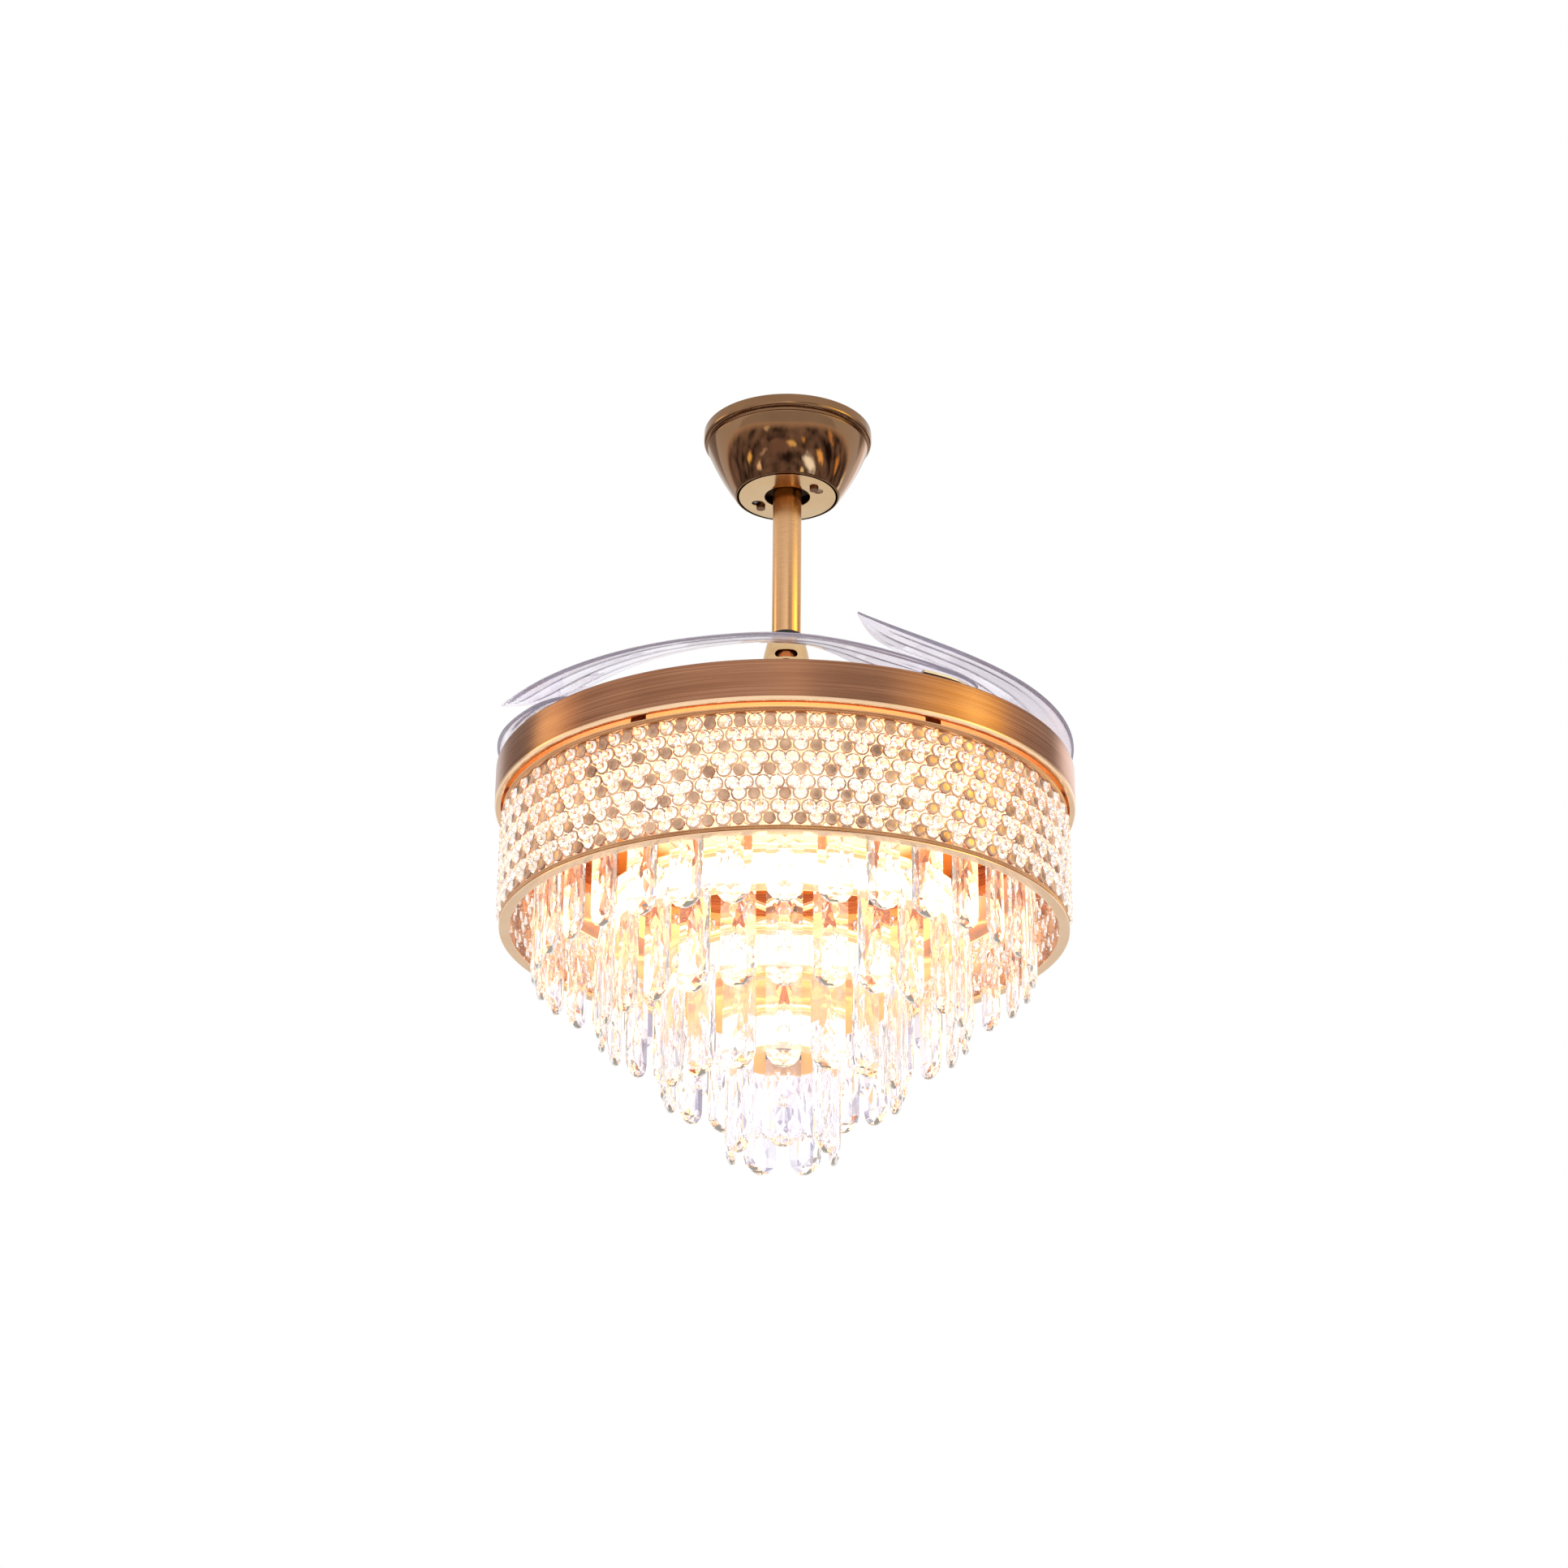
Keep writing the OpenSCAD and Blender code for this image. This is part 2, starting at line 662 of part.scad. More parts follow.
// ---- Blade carrier ----
module blade_places() {
    for (i = [0:blade_count - 1]) at_az(pivot_az + 90 * i, pivot_r) children();
}

module blade_carrier() {
    under = case_bottom_z - carrier_t;
    color("#8C6A4E") difference() {
        ring(bearing_seat_r, carrier_r, under, case_bottom_z);
        blade_places() translate([0, 0, under - cut]) cylinder(r = stud_r + fit, h = carrier_t + 2 * cut);
    }
}

module gear_retainer() {
    color("#8C6A4E") ring(case_r + fit, flange_r + 10, case_bottom_z + flange_t, case_bottom_z + flange_t + 1.6);
}

module pivot_studs() {
    under = case_bottom_z - carrier_t;
    color(steel) blade_places() {
        translate([0, 0, under - 2]) cylinder(r = stud_r + 3, h = 2);
        translate([0, 0, under - 0.01]) cylinder(r = stud_r, h = hub_top_z + rest_gap - under + 0.02);
        translate([0, 0, hub_top_z + rest_gap]) cylinder(r = hub_r + 2.5, h = stud_cap_h);
    }
}

// A spring is one helix round the hub, hooked under the cap of its stud
function spring_point(a) = [spring_coil_r * cos(a), spring_coil_r * sin(a), spring_z + spring_pitch * a / 360];
spring_path = [for (i = [0:spring_sides * spring_turns]) spring_point(i * 360 / spring_sides)];
spring_least_gap = min([for (a = spring_path, b = spring_path)
    let (d = norm(a - b)) if (d > spring_pitch - 1 && abs(a.z - b.z) > spring_pitch * 0.9) d]) - 2 * spring_wire_r;
echo(least_gap_between_spring_turns = spring_least_gap);

module return_springs() {
    color("#D7DADD") blade_places() tube_along(spring_path, spring_wire_r, 6, [0, 0, 1]);
}

// ---- Gear teeth ----
function involute_angle(base, r) = let (a = acos(min(1, base / r))) tan(a) * 180 / PI - a;
function tooth_half_angle(teeth, r) =
    let (pitch = teeth * tooth_module / 2, base = pitch * cos(20))
    90 / teeth + involute_angle(base, pitch) - involute_angle(base, r) - tooth_slack / 2 * 180 / PI / pitch;
function tooth_radii(teeth) =
    let (pitch = teeth * tooth_module / 2, root = pitch - 1.25 * tooth_module, tip = pitch + tooth_module)
    [for (i = [0:3]) root + (tip - root) * i / 3];
function tooth_points(teeth, az) =
    concat([for (r = tooth_radii(teeth)) polar(r, az - tooth_half_angle(teeth, r))],
        [for (i = [3:-1:0]) let (r = tooth_radii(teeth)[i]) polar(r, az + tooth_half_angle(teeth, r))]);

module sync_gear_outline() {
    step = 360 / gear_teeth;
    before = 2;
    after = ceil(fold_angle * pinion_teeth / gear_teeth / step) + 2;
    rim = tooth_radii(gear_teeth)[0] - tooth_module;
    polygon([for (k = [0:blade_count - 1]) let (az = pivot_az + 90 * k)
        each concat([for (i = [-before:after]) each tooth_points(gear_teeth, az + step * i)],
            [for (a = [step * (after + 1):3:90 - step * (before + 1)]) polar(rim, az + a)])]);
}

module sync_gear() {
    color("#E8E2D6") translate([0, 0, gear_bottom_z]) difference() {
        linear_extrude(gear_t) sync_gear_outline();
        translate([0, 0, -cut]) cylinder(r = gear_bore_r, h = gear_t + 2 * cut);
    }
}

// ---- Blade arm: hub, toothed sector and the plate under the blade's root ----
module pinion_outline() {
    step = 360 / pinion_teeth;
    inward = pivot_az + 180;
    first = -ceil(fold_angle / step) - 2;
    last = 1;
    start_az = inward + step * (first - 0.5);
    end_az = inward + step * (last + 1.5);
    polygon(concat([for (i = [first:last]) each tooth_points(pinion_teeth, inward + step * (i + 0.5))],
        [for (i = [0:12]) let (a = end_az + (360 + start_az - end_az) * i / 12) polar(hub_r + 4, a)]));
}

function blade_width(d) = blade_w * (1 - exp(-d / 9)) - blade_narrowing * d / blade_span;
function root_round(d) = let (x = max(0, (d - blade_span + 10) / 10)) 20 * (1 - sqrt(1 - 0.96 * x * x));
function outer_edge_r(d) = band_r - root_round(d);
function inner_edge_r(d) = band_r - blade_width(d) + root_round(d);
function blade_az(d) = first_tip_az + d;

boss_places = [[blade_span - 12, 0.3], [blade_span - 12, 0.7], [blade_span - 5, 0.5]];
function boss_point(p) =
    polar(outer_edge_r(p[0]) + (inner_edge_r(p[0]) - outer_edge_r(p[0])) * p[1], blade_az(p[0]));

module arm_outline() {
    far = blade_span - 15;
    near = blade_span - 2;
    margin = 5;
    pivot = polar(pivot_r, pivot_az);
    translate(pivot) circle(r = hub_r + 4);
    polygon(concat([for (d = [far:2.6:near + 0.1]) polar(outer_edge_r(d) - margin, blade_az(d))],
        [for (d = [near:-2.6:far - 0.1]) polar(inner_edge_r(d) + margin, blade_az(d))]));
    polygon([polar(inner_edge_r(near) + 8, blade_az(near) - 0.5), pivot + polar(hub_r + 2, pivot_az + 80),
        pivot + polar(hub_r + 2, pivot_az - 80), polar(inner_edge_r(far + 3) + 8, blade_az(far + 3))]);
}

module blade_arm() {
    pivot = polar(pivot_r, pivot_az);
    color("#B98A5E") difference() {
        union() {
            translate([pivot.x, pivot.y, gear_bottom_z]) cylinder(r = hub_r, h = hub_h);
            translate([pivot.x, pivot.y, gear_bottom_z]) linear_extrude(arm_z - gear_bottom_z + 0.01)
                pinion_outline();
            translate([0, 0, arm_z]) linear_extrude(arm_t) arm_outline();
            for (p = boss_places) let (q = boss_point(p)) translate([q.x, q.y, arm_top_z - 0.01])
                cylinder(r = 4, h = blade_low(p[0], p[1]) - arm_top_z + blade_t / 2);
        }
        translate([pivot.x, pivot.y, gear_bottom_z - cut])
            cylinder(r = stud_r + running, h = hub_h + 2 * cut);
    }
}

// ---- Blade: a thin curved sheet on a grid of angle along and share across ----
// The outer edge sinks to the arm from dip_start degrees behind the tip on
dip_start = 72;
dip_end = 2;         // degrees before the root at which it lies on the arm
tip_fade = 16;       // degrees over which the tip's lift fades
function blade_outer_z(d) =
    let (dip = ease((d - dip_start) / (blade_span - dip_start - dip_end)))
    root_z + blade_rise * (1 - dip) + tip_lift * exp(-d / tip_fade);
function blade_tilt(d) =
    blade_pitch * (1 - exp(-d / 12)) * (1 - ease((d - blade_span + 39) / 30));
function blade_low(d, t) =
    blade_outer_z(d) + blade_width(d) * tan(blade_tilt(d)) * t - blade_camber * sin(180 * t) * ease(blade_tilt(d) / 10);
blade_steps = 26;
blade_across = 5;

function blade_point(i, j, lift) =
    let (d = 0.3 + (blade_span - 0.3) * pow(i / blade_steps, 1.3), t = j / blade_across,
         p = polar(outer_edge_r(d) + (inner_edge_r(d) - outer_edge_r(d)) * t, blade_az(d)))
    [p.x, p.y, blade_low(d, t) + lift];

module blade_sheet() {
    row = blade_across + 1;
    low = row * (blade_steps + 1);
    points = [for (lift = [blade_t, 0], i = [0:blade_steps], j = [0:blade_across]) blade_point(i, j, lift)];
    top = [for (i = [0:blade_steps - 1], j = [0:blade_across - 1]) let (a = i * row + j)
        each [[a, a + row + 1, a + row], [a, a + 1, a + row + 1]]];
    bottom = [for (f = top) [f[0] + low, f[2] + low, f[1] + low]];
    rims = [for (i = [0:blade_steps - 1]) let (a = i * row, b = a + row, c = a + blade_across, e = c + row)
        each [[a, b, b + low], [a, b + low, a + low], [c, e + low, e], [c, c + low, e + low]]];
    ends = [for (j = [0:blade_across - 1]) let (a = j, b = j + 1, c = blade_steps * row + j, e = c + 1)
        each [[a, b + low, b], [a, a + low, b + low], [c, e, e + low], [c, e + low, c + low]]];
    color(clear) polyhedron(points, concat(top, bottom, rims, ends));
}

// ---- Band, pan and drum ----
module driver_pan() {
    color("#C9A27C") ring(bore_r, pan_r, pan_z - pan_t, pan_z);
}

module band_ring() {
    color(gold) {
        ring(band_r - band_wall, band_r, band_bottom_z, band_top_z);
        ring(band_r - band_flange_w, band_r, band_top_z - band_wall, band_top_z);
        ring(band_r - 4, band_r, band_bottom_z, band_bottom_z + band_wall);
    }
}

module shaft_nut() {
    color(steel) difference() {
        translate([0, 0, stem_top_z + rest_gap]) cylinder(r = nut_r, h = pan_z - pan_t - stem_top_z - rest_gap, $fn = 6);
        translate([0, 0, stem_top_z - cut]) cylinder(r = bore_r, h = 20);
    }
}

module drum_hangers() {
    tab_w = 14;
    color("#7A5A3E") for (i = [0:5]) at_az(30 + 60 * i, hanger_r) {
        translate([-tab_w / 2, 0, trim_top_z]) cube([tab_w, 1.2, pan_z - pan_t - trim_top_z]);
        translate([-tab_w / 2, -1.4, trim_top_z]) cube([tab_w, 8, 1.2]);
    }
}

module drum_top_rim() {
    color(satin_gold) {
        ring(drum_r - drum_wall - 4, drum_r + 1, trim_top_z - 1.2, trim_top_z);
        ring(drum_r - drum_wall, drum_r + 3, drum_top_z, trim_top_z - 1.2 + 0.01);
    }
}

module drum_lattice() {
    color("#B08A68") ring(drum_r - drum_wall, drum_r, drum_bottom_z, drum_top_z);
}

module drum_bottom_rim() {
    color(satin_gold) {
        ring(drum_r - drum_wall, drum_r + 2, rim_z, drum_bottom_z);
        ring(drum_r + 2 - rim_ring_w, drum_r + 2, rim_z, rim_z + 1.2);
    }
}

module bead_place(az, z) {
    at_az(az, drum_r + 0.05, z) rotate([90, 0, 0]) children();
}

module lattice_beads() {
    color(glass) for (i = [0:bead_groups - 1])
        bead_place(i * 360 / bead_groups, bead_top_z) cylinder(r = bead_r, h = bead_depth);
}

module trefoil() {
    for (side = [-1, 1]) translate([side * trefoil_x, trefoil_up]) circle(r = bead_r);
    translate([0, -trefoil_up]) circle(r = bead_r);
}

module lattice_trefoils() {
    color(glass) for (row = [0:trefoil_rows - 1], i = [0:bead_groups - 1])
        bead_place((i + (row % 2 == 0 ? 0.5 : 0)) * 360 / bead_groups, trefoil_z - row * bead_row_step)
            linear_extrude(bead_depth) trefoil();
}

// ---- Middle stem and tiers ----
module light_stem() {
    color(satin_gold) rotate_extrude() polygon([
        [bore_r, stem_top_z], [nut_r, stem_top_z], [nut_r, stem_top_z - 3], [stem_r, stem_top_z - 3],
        [stem_r, stem_end_z], [stem_r - 3, stem_end_z], [stem_r - 3, shaft_end_z - rest_gap],
        [bore_r, shaft_end_z - rest_gap]]);
}

module stem_nut() {
    top = tier_top(tier_count) - 12 - rest_gap;
    color(gold) difference() {
        translate([0, 0, top - 9]) cylinder(r = stem_r + 5, h = 9, $fn = 6);
        translate([0, 0, top - 9 - cut]) cylinder(r = stem_r + fit, h = 9 + 2 * cut);
    }
}

module tier_frame(k) {
    top = tier_top(k);
    hoop = hoop_radius(k);
    color(gold) {
        ring(hoop - hoop_wall, hoop, top - hoop_h, top);
        ring(hoop - hoop_wall, tier_radius(k) + 3, top - hoop_wall, top);
        ring(stem_r + fit, stem_r + 5, top - 12, top);
        for (i = [0:3]) at_az(45 + 90 * i, 0, top - 6)
            translate([-4, -hoop + hoop_wall / 2, 0]) cube([8, hoop - hoop_wall / 2 - stem_r - 3, 3]);
    }
}

module led_strips() {
    color("white") for (k = [1:tier_count])
        ring(hoop_radius(k) + fit, hoop_radius(k) + 1.6, tier_top(k) - hoop_h + 6, tier_top(k) - 6);
}

module crystal_places(k) {
    for (i = [0:crystal_counts[k - 1] - 1]) at_az(i * 360 / crystal_counts[k - 1], tier_radius(k)) children();
}

// Crystal: a flat drop with a round end, a thin edge and a ridge down each face
crystal_round_z = -(crystal_len - crystal_w / 2);
crystal_outline = concat(
    [[shoulder_w, 0], [-shoulder_w, 0], [-crystal_w / 2, -shoulder_h]],
    [for (a = [180:45:360]) [crystal_w / 2 * cos(a), crystal_round_z + crystal_w / 2 * sin(a)]],
    [[crystal_w / 2, -shoulder_h]]);

module crystal() {
    n = len(crystal_outline);
    front = [for (p = crystal_outline) [p.x, -crystal_edge / 2, p.y]];
    back = [for (p = crystal_outline) [p.x, crystal_edge / 2, p.y]];
    ridge = [for (side = [-1, 1], z = [-shoulder_h - 4, crystal_round_z]) [0, side * crystal_t / 2, z]];
    // An edge in the upper half belongs to the ridge's top point, the others to its low point
    apex = [for (i = [0:n - 1]) (crystal_outline[i].y + crystal_outline[(i + 1) % n].y) / 2
        > -crystal_len * 0.6 ? 0 : 1];
    front_faces = [for (i = [0:n - 1]) let (j = (i + 1) % n, h = (i + n - 1) % n)
        each concat([[i, 2 * n + apex[i], j]],
            apex[h] == apex[i] ? [] : [[i, 2 * n + apex[h], 2 * n + apex[i]]])];
    back_faces = [for (f = front_faces) [for (v = [f[0], f[2], f[1]]) v < n ? v + n : v + 2]];
    rim_faces = [for (i = [0:n - 1]) let (j = (i + 1) % n) each [[i, j, j + n], [i, j + n, i + n]]];
    polyhedron(concat(front, back, ridge), concat(front_faces, back_faces, rim_faces));
}

module crystals_tier(k) {
    color(glass) crystal_places(k) translate([0, 0, crystal_top(k)]) crystal();
}

module link_beads() {
    color(glass) for (k = [1:tier_count]) crystal_places(k)
        translate([0, link_depth / 2, tier_top(k) - hoop_wall - pin_len - link_flat])
            rotate([90, 22.5, 0]) cylinder(r = link_r, h = link_depth, $fn = 8);
}

module link_pins() {
    color(satin_gold) for (k = [1:tier_count]) crystal_places(k) {
        translate([0, 0, tier_top(k) - hoop_wall - pin_len]) cylinder(r = pin_r, h = pin_len);
        translate([0, 0, crystal_top(k)]) cylinder(r = pin_r, h = pin_len / 2);
    }
}

// ---- Electrics under the pan ----
driver_size = [70, 34, 20];
driver_y = -80;
receiver_size = [84, 36, 20];
receiver_y = 80;
box_top_z = pan_z - pan_t - rest_gap;

module led_driver() {
    color("white") translate([-driver_size.x / 2, driver_y - driver_size.y / 2, box_top_z - driver_size.z])
        cube(driver_size);
}

module receiver_box() {
    color("white") translate([-receiver_size.x / 2, receiver_y - receiver_size.y / 2,
        box_top_z - receiver_size.z]) cube(receiver_size);
}

// The two leads hang from the driver and end on top of the first hoop's spoke at 45 degrees
lead_start = [20, driver_y, box_top_z - driver_size.z];
lead_drop = lead_start.z - hoop_top_z + 3;
lead_reach = -driver_y - lead_start.x - 4;
lead_steps = 16;
function lead_route(offset) = [for (i = [0:lead_steps]) let (t = i / lead_steps)
    lead_start + [lead_reach * ease(t), offset, -lead_drop * t]];

module led_leads() {
    color("#3F57B5") for (offset = [0, 4]) tube_along(lead_route(offset), lead_r, 8, [0, 1, 0]);
}

hanger_bracket();
canopy_screws();
terminal_block();
canopy();
ball_seat_ring();
hanger_ball();
ball_pin();
downrod();
rod_collar();
coupling_cover();
coupling_yoke();
yoke_pin();
motor_shaft();
stator_core();
stator_coils();
driver_pan();
band_ring();
shaft_nut();
drum_hangers();
drum_top_rim();
drum_lattice();
drum_bottom_rim();
lattice_beads();
lattice_trefoils();
light_stem();
stem_nut();
tier_frame(1);  // tier_frame_1
tier_frame(2);  // tier_frame_2
tier_frame(3);  // tier_frame_3
tier_frame(4);  // tier_frame_4
led_strips();
crystals_tier(1);  // crystals_tier_1
crystals_tier(2);  // crystals_tier_2
crystals_tier(3);  // crystals_tier_3
crystals_tier(4);  // crystals_tier_4
link_beads();
link_pins();
led_driver();
receiver_box();
led_leads();
rotor_upper_shell();
rotor_lower_shell();
rotor_bearings();
magnet_ring();
rotor_screws();
blade_carrier();
gear_retainer();
pivot_studs();
return_springs();
sync_gear();
blade_arm();  // blade_arm_1
rotate([0, 0, 90]) blade_arm();  // blade_arm_2
rotate([0, 0, 180]) blade_arm();  // blade_arm_3
rotate([0, 0, 270]) blade_arm();  // blade_arm_4
blade_sheet();  // blade_1
rotate([0, 0, 90]) blade_sheet();  // blade_2
rotate([0, 0, 180]) blade_sheet();  // blade_3
rotate([0, 0, 270]) blade_sheet();  // blade_4
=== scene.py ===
import bmesh
import bpy
import numpy as np
from mathutils import Matrix, Vector


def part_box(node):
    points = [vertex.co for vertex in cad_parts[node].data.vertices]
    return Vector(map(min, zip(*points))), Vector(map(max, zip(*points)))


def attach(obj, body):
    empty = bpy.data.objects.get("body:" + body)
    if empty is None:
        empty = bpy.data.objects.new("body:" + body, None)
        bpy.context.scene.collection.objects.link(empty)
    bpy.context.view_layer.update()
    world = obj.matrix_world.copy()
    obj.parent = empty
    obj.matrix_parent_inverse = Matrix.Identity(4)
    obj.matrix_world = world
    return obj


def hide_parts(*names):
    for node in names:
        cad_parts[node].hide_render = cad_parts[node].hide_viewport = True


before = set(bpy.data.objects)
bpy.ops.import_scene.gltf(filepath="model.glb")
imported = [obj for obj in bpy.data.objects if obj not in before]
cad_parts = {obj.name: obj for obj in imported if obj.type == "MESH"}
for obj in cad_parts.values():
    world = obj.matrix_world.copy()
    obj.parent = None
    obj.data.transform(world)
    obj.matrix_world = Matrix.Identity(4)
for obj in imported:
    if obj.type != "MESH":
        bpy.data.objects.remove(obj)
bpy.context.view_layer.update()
mm = 0.001
fullTurn = 2 * np.pi
print("frame loaded:", len(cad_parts), "nodes")


def low(node):
    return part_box(node)[0].z


def high(node):
    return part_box(node)[1].z


def reach(node):
    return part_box(node)[1].x


def addObject(name, data):
    made = bpy.data.objects.new(name, data)
    bpy.context.scene.collection.objects.link(made)
    return made


def addMesh(name, points, faces, material):
    mesh = bpy.data.meshes.new(name)
    mesh.from_pydata(points, [], faces)
    mesh.materials.append(material)
    return addObject(name, mesh)


# The camera stands below the drum and looks up at it.
view = {"distance": 2.5263, "height": -1.4107, "side": -0.00025, "pitch": 22.89, "yaw": 0.02,
        "roll": 0.413, "lens": 72.6, "sensor": 36, "nearest": 0.05}
camera = addObject("camera", bpy.data.cameras.new("camera"))
bpy.context.scene.camera = camera
camera.data.lens = view["lens"]
camera.data.sensor_width = view["sensor"]
camera.data.clip_start = view["nearest"]
camera.matrix_world = (
    Matrix.Translation((view["side"], -view["distance"], view["height"]))
    @ Matrix.Rotation(np.radians(view["yaw"]), 4, "Z")
    @ Matrix.Rotation(np.radians(90 + view["pitch"]), 4, "X")
    @ Matrix.Rotation(np.radians(view["roll"]), 4, "Z"))


# quads between the lines of a grid; a closed direction joins its last line to its first
def gridFaces(rows, columns, closedRows=False, closedColumns=False):
    i = np.arange(rows if closedRows else rows - 1)[:, None]
    j = np.arange(columns if closedColumns else columns - 1)[None, :]
    nextI, nextJ = (i + 1) % rows, (j + 1) % columns
    corners = [i * columns + j, i * columns + nextJ, nextI * columns + nextJ, nextI * columns + j]
    return np.stack(np.broadcast_arrays(*corners), -1).reshape(-1, 4)


# `count` equal steps once round
def roundSteps(count):
    return np.linspace(0, fullTurn, count, endpoint=False)


# azimuth 0 is -Y, the camera's side: x = r sin a, y = -r cos a
def roundZ(radius, angle, height):
    return np.stack(np.broadcast_arrays(radius * np.sin(angle), -radius * np.cos(angle), height), -1)


# rows of x and y, each row turned about Z by its own angle: x cos a - y sin a and x sin a + y cos a
def turnedRows(x, y, angles):
    c, s = np.cos(angles)[:, None], np.sin(angles)[:, None]
    return x * c - y * s, x * s + y * c


# each corner p of a closed outline becomes (1-t)^2 a + 2t(1-t) p + t^2 b, with a and b `cuts` along its sides
def roundCorners(corners, cuts, steps=5):
    p = np.asarray(corners, float)
    cut = np.broadcast_to(np.asarray(cuts, float), len(p))[:, None]
    back, ahead = np.roll(p, 1, 0) - p, np.roll(p, -1, 0) - p
    lengthBack = np.linalg.norm(back, axis=1, keepdims=True)
    lengthAhead = np.linalg.norm(ahead, axis=1, keepdims=True)
    a = p + back / lengthBack * np.minimum(cut, 0.45 * lengthBack)
    b = p + ahead / lengthAhead * np.minimum(cut, 0.45 * lengthAhead)
    t = np.linspace(0, 1, steps)[None, :, None]
    curve = ((1 - t) ** 2 * a[:, None] + 2 * t * (1 - t) * p[:, None] + t ** 2 * b[:, None]).reshape(-1, 2)
    moved = np.linalg.norm(curve - np.roll(curve, 1, 0), axis=1) > 1e-9
    return curve[moved]


# a circular arc from p to q: its radius is (bulge^2 + length^2 / 4) / (2 bulge), and it stands off to the left
def arcBetween(p, q, bulge, steps=24):
    p, q = np.asarray(p, float), np.asarray(q, float)
    length = np.linalg.norm(q - p)
    along = (q - p) / length
    side = np.array([-along[1], along[0]])
    radius = (bulge ** 2 + length ** 2 / 4) / (2 * bulge)
    half = np.arcsin(length / 2 / radius)
    a = np.linspace(-half, half, steps)[:, None]
    return (p + q) / 2 + side * (bulge - radius) + radius * (side * np.cos(a) + along * np.sin(a))


# a closed section of (radius, height) turned about Z; ribs add depth * cos(ribs * angle) where `ribbed` is 1
def turned(section, steps, ribs=0, depth=0.0, ribbed=0.0):
    section = np.asarray(section, float)
    angle = roundSteps(steps)[:, None]
    wave = depth * np.cos(ribs * angle) * np.broadcast_to(ribbed, len(section))[None, :]
    points = roundZ(section[None, :, 0] + wave, angle, section[None, :, 1])
    return points.reshape(-1, 3), gridFaces(steps, len(section), True, True).tolist()


# a plain ring: a rectangle of (radius, height) with rounded corners, turned about Z
def plainRing(inner, outer, bottom, top, cut, cutSteps, steps):
    corners = [(inner, bottom), (outer, bottom), (outer, top), (inner, top)]
    return turned(roundCorners(corners, cut, cutSteps), steps)


# the walls of a tube with `sides` points to a ring, and its two ends
def tubeFaces(rings, sides):
    last = (rings - 1) * sides
    ends = [list(range(sides)), list(range(last + sides - 1, last - 1, -1))]
    return gridFaces(rings, sides, False, True).tolist() + ends


# rings of radius r square to a path; each ring is u cos a + v sin a, with u and v across the path
def wire(path, r, sides=8, closed=False):
    path = np.asarray(path, float)
    tangent = np.roll(path, -1, 0) - np.roll(path, 1, 0) if closed else np.gradient(path, axis=0)
    tangent /= np.linalg.norm(tangent, axis=1, keepdims=True)
    u = np.cross(tangent, [0.0, 1.0, 0.0] if np.abs(tangent[:, 1]).max() < 0.9 else [1.0, 0.0, 0.0])
    u /= np.linalg.norm(u, axis=1, keepdims=True)
    v = np.cross(tangent, u)
    a = roundSteps(sides)[None, :, None]
    points = path[:, None] + r * (u[:, None] * np.cos(a) + v[:, None] * np.sin(a))
    faces = gridFaces(len(path), sides, True, True).tolist() if closed else tubeFaces(len(path), sides)
    return points.reshape(-1, 3), faces


# a bar from start to end: a rectangle with cut corners, drawn in by the same cut at both ends
def barBetween(start, end, width, height, bevel):
    start, end = np.asarray(start, float), np.asarray(end, float)
    along = (end - start) / np.linalg.norm(end - start)
    across = np.cross([0.0, 0.0, 1.0], along)
    up = np.cross(along, across)
    w, h = width / 2, height / 2
    section = roundCorners([[w, -h], [w, h], [-w, h], [-w, -h]], bevel, 3)
    inner = section - np.sign(section) * bevel * 0.8
    rings = zip([start, start + along * bevel, end - along * bevel, end], [inner, section, section, inner])
    points = np.concatenate([at + s[:, :1] * across + s[:, 1:] * up for at, s in rings])
    return points, tubeFaces(4, len(section))


def repeatFaces(faces, step, count):
    made = []
    for size in sorted({len(face) for face in faces}):
        group = np.array([face for face in faces if len(face) == size])
        made += (group[None] + (np.arange(count) * step)[:, None, None]).reshape(-1, size).tolist()
    return made


# copies of a small shape whose outer face looks to -Y: pushed out to a radius, lifted, and turned about Z
def copiesRound(shape, azimuths, radii, heights):
    points, faces = shape
    azimuths = np.atleast_1d(azimuths).astype(float)
    x = points[None, :, 0]
    y = points[None, :, 1] - np.broadcast_to(radii, azimuths.shape)[:, None]
    z = points[None, :, 2] + np.broadcast_to(heights, azimuths.shape)[:, None]
    placed = np.stack([*turnedRows(x, y, azimuths), z], -1).reshape(-1, 3)
    return placed, repeatFaces(faces, len(points), len(azimuths))


def joined(shapes):
    points, faces, offset = [], [], 0
    for p, f in shapes:
        points.append(p)
        faces += [[v + offset for v in face] for face in f]
        offset += len(p)
    return np.concatenate(points), faces


def shifted(shape, dx, dz):
    return shape[0] + np.array([dx, 0, dz]) * mm, shape[1]


# six times a closed shape's volume is the sum of a . (b x c) over its triangles; below zero it is inside out
def facesOutwards(points, faces):
    fans = np.array([(f[0], f[i], f[i + 1]) for f in faces for i in range(1, len(f) - 1)])
    a, b, c = (points[fans[:, k]] for k in range(3))
    volume = np.einsum("ij,ij->i", a, np.cross(b, c)).sum()
    return [f[::-1] for f in faces] if volume < 0 else faces


# a shape becomes a piece; edges bent by more than `sharp` degrees stay crisp, and 0 keeps every facet flat
def makePiece(name, shape, look, body, stands=(), sharp=40):
    points, faces = shape
    piece = addMesh(name, points.tolist(), facesOutwards(points, faces), look)
    piece.data.validate()
    if sharp:
        piece.data.shade_smooth()
        piece.data.set_sharp_from_angle(angle=np.radians(sharp))
    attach(piece, body)
    if stands:
        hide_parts(*stands)
    return piece


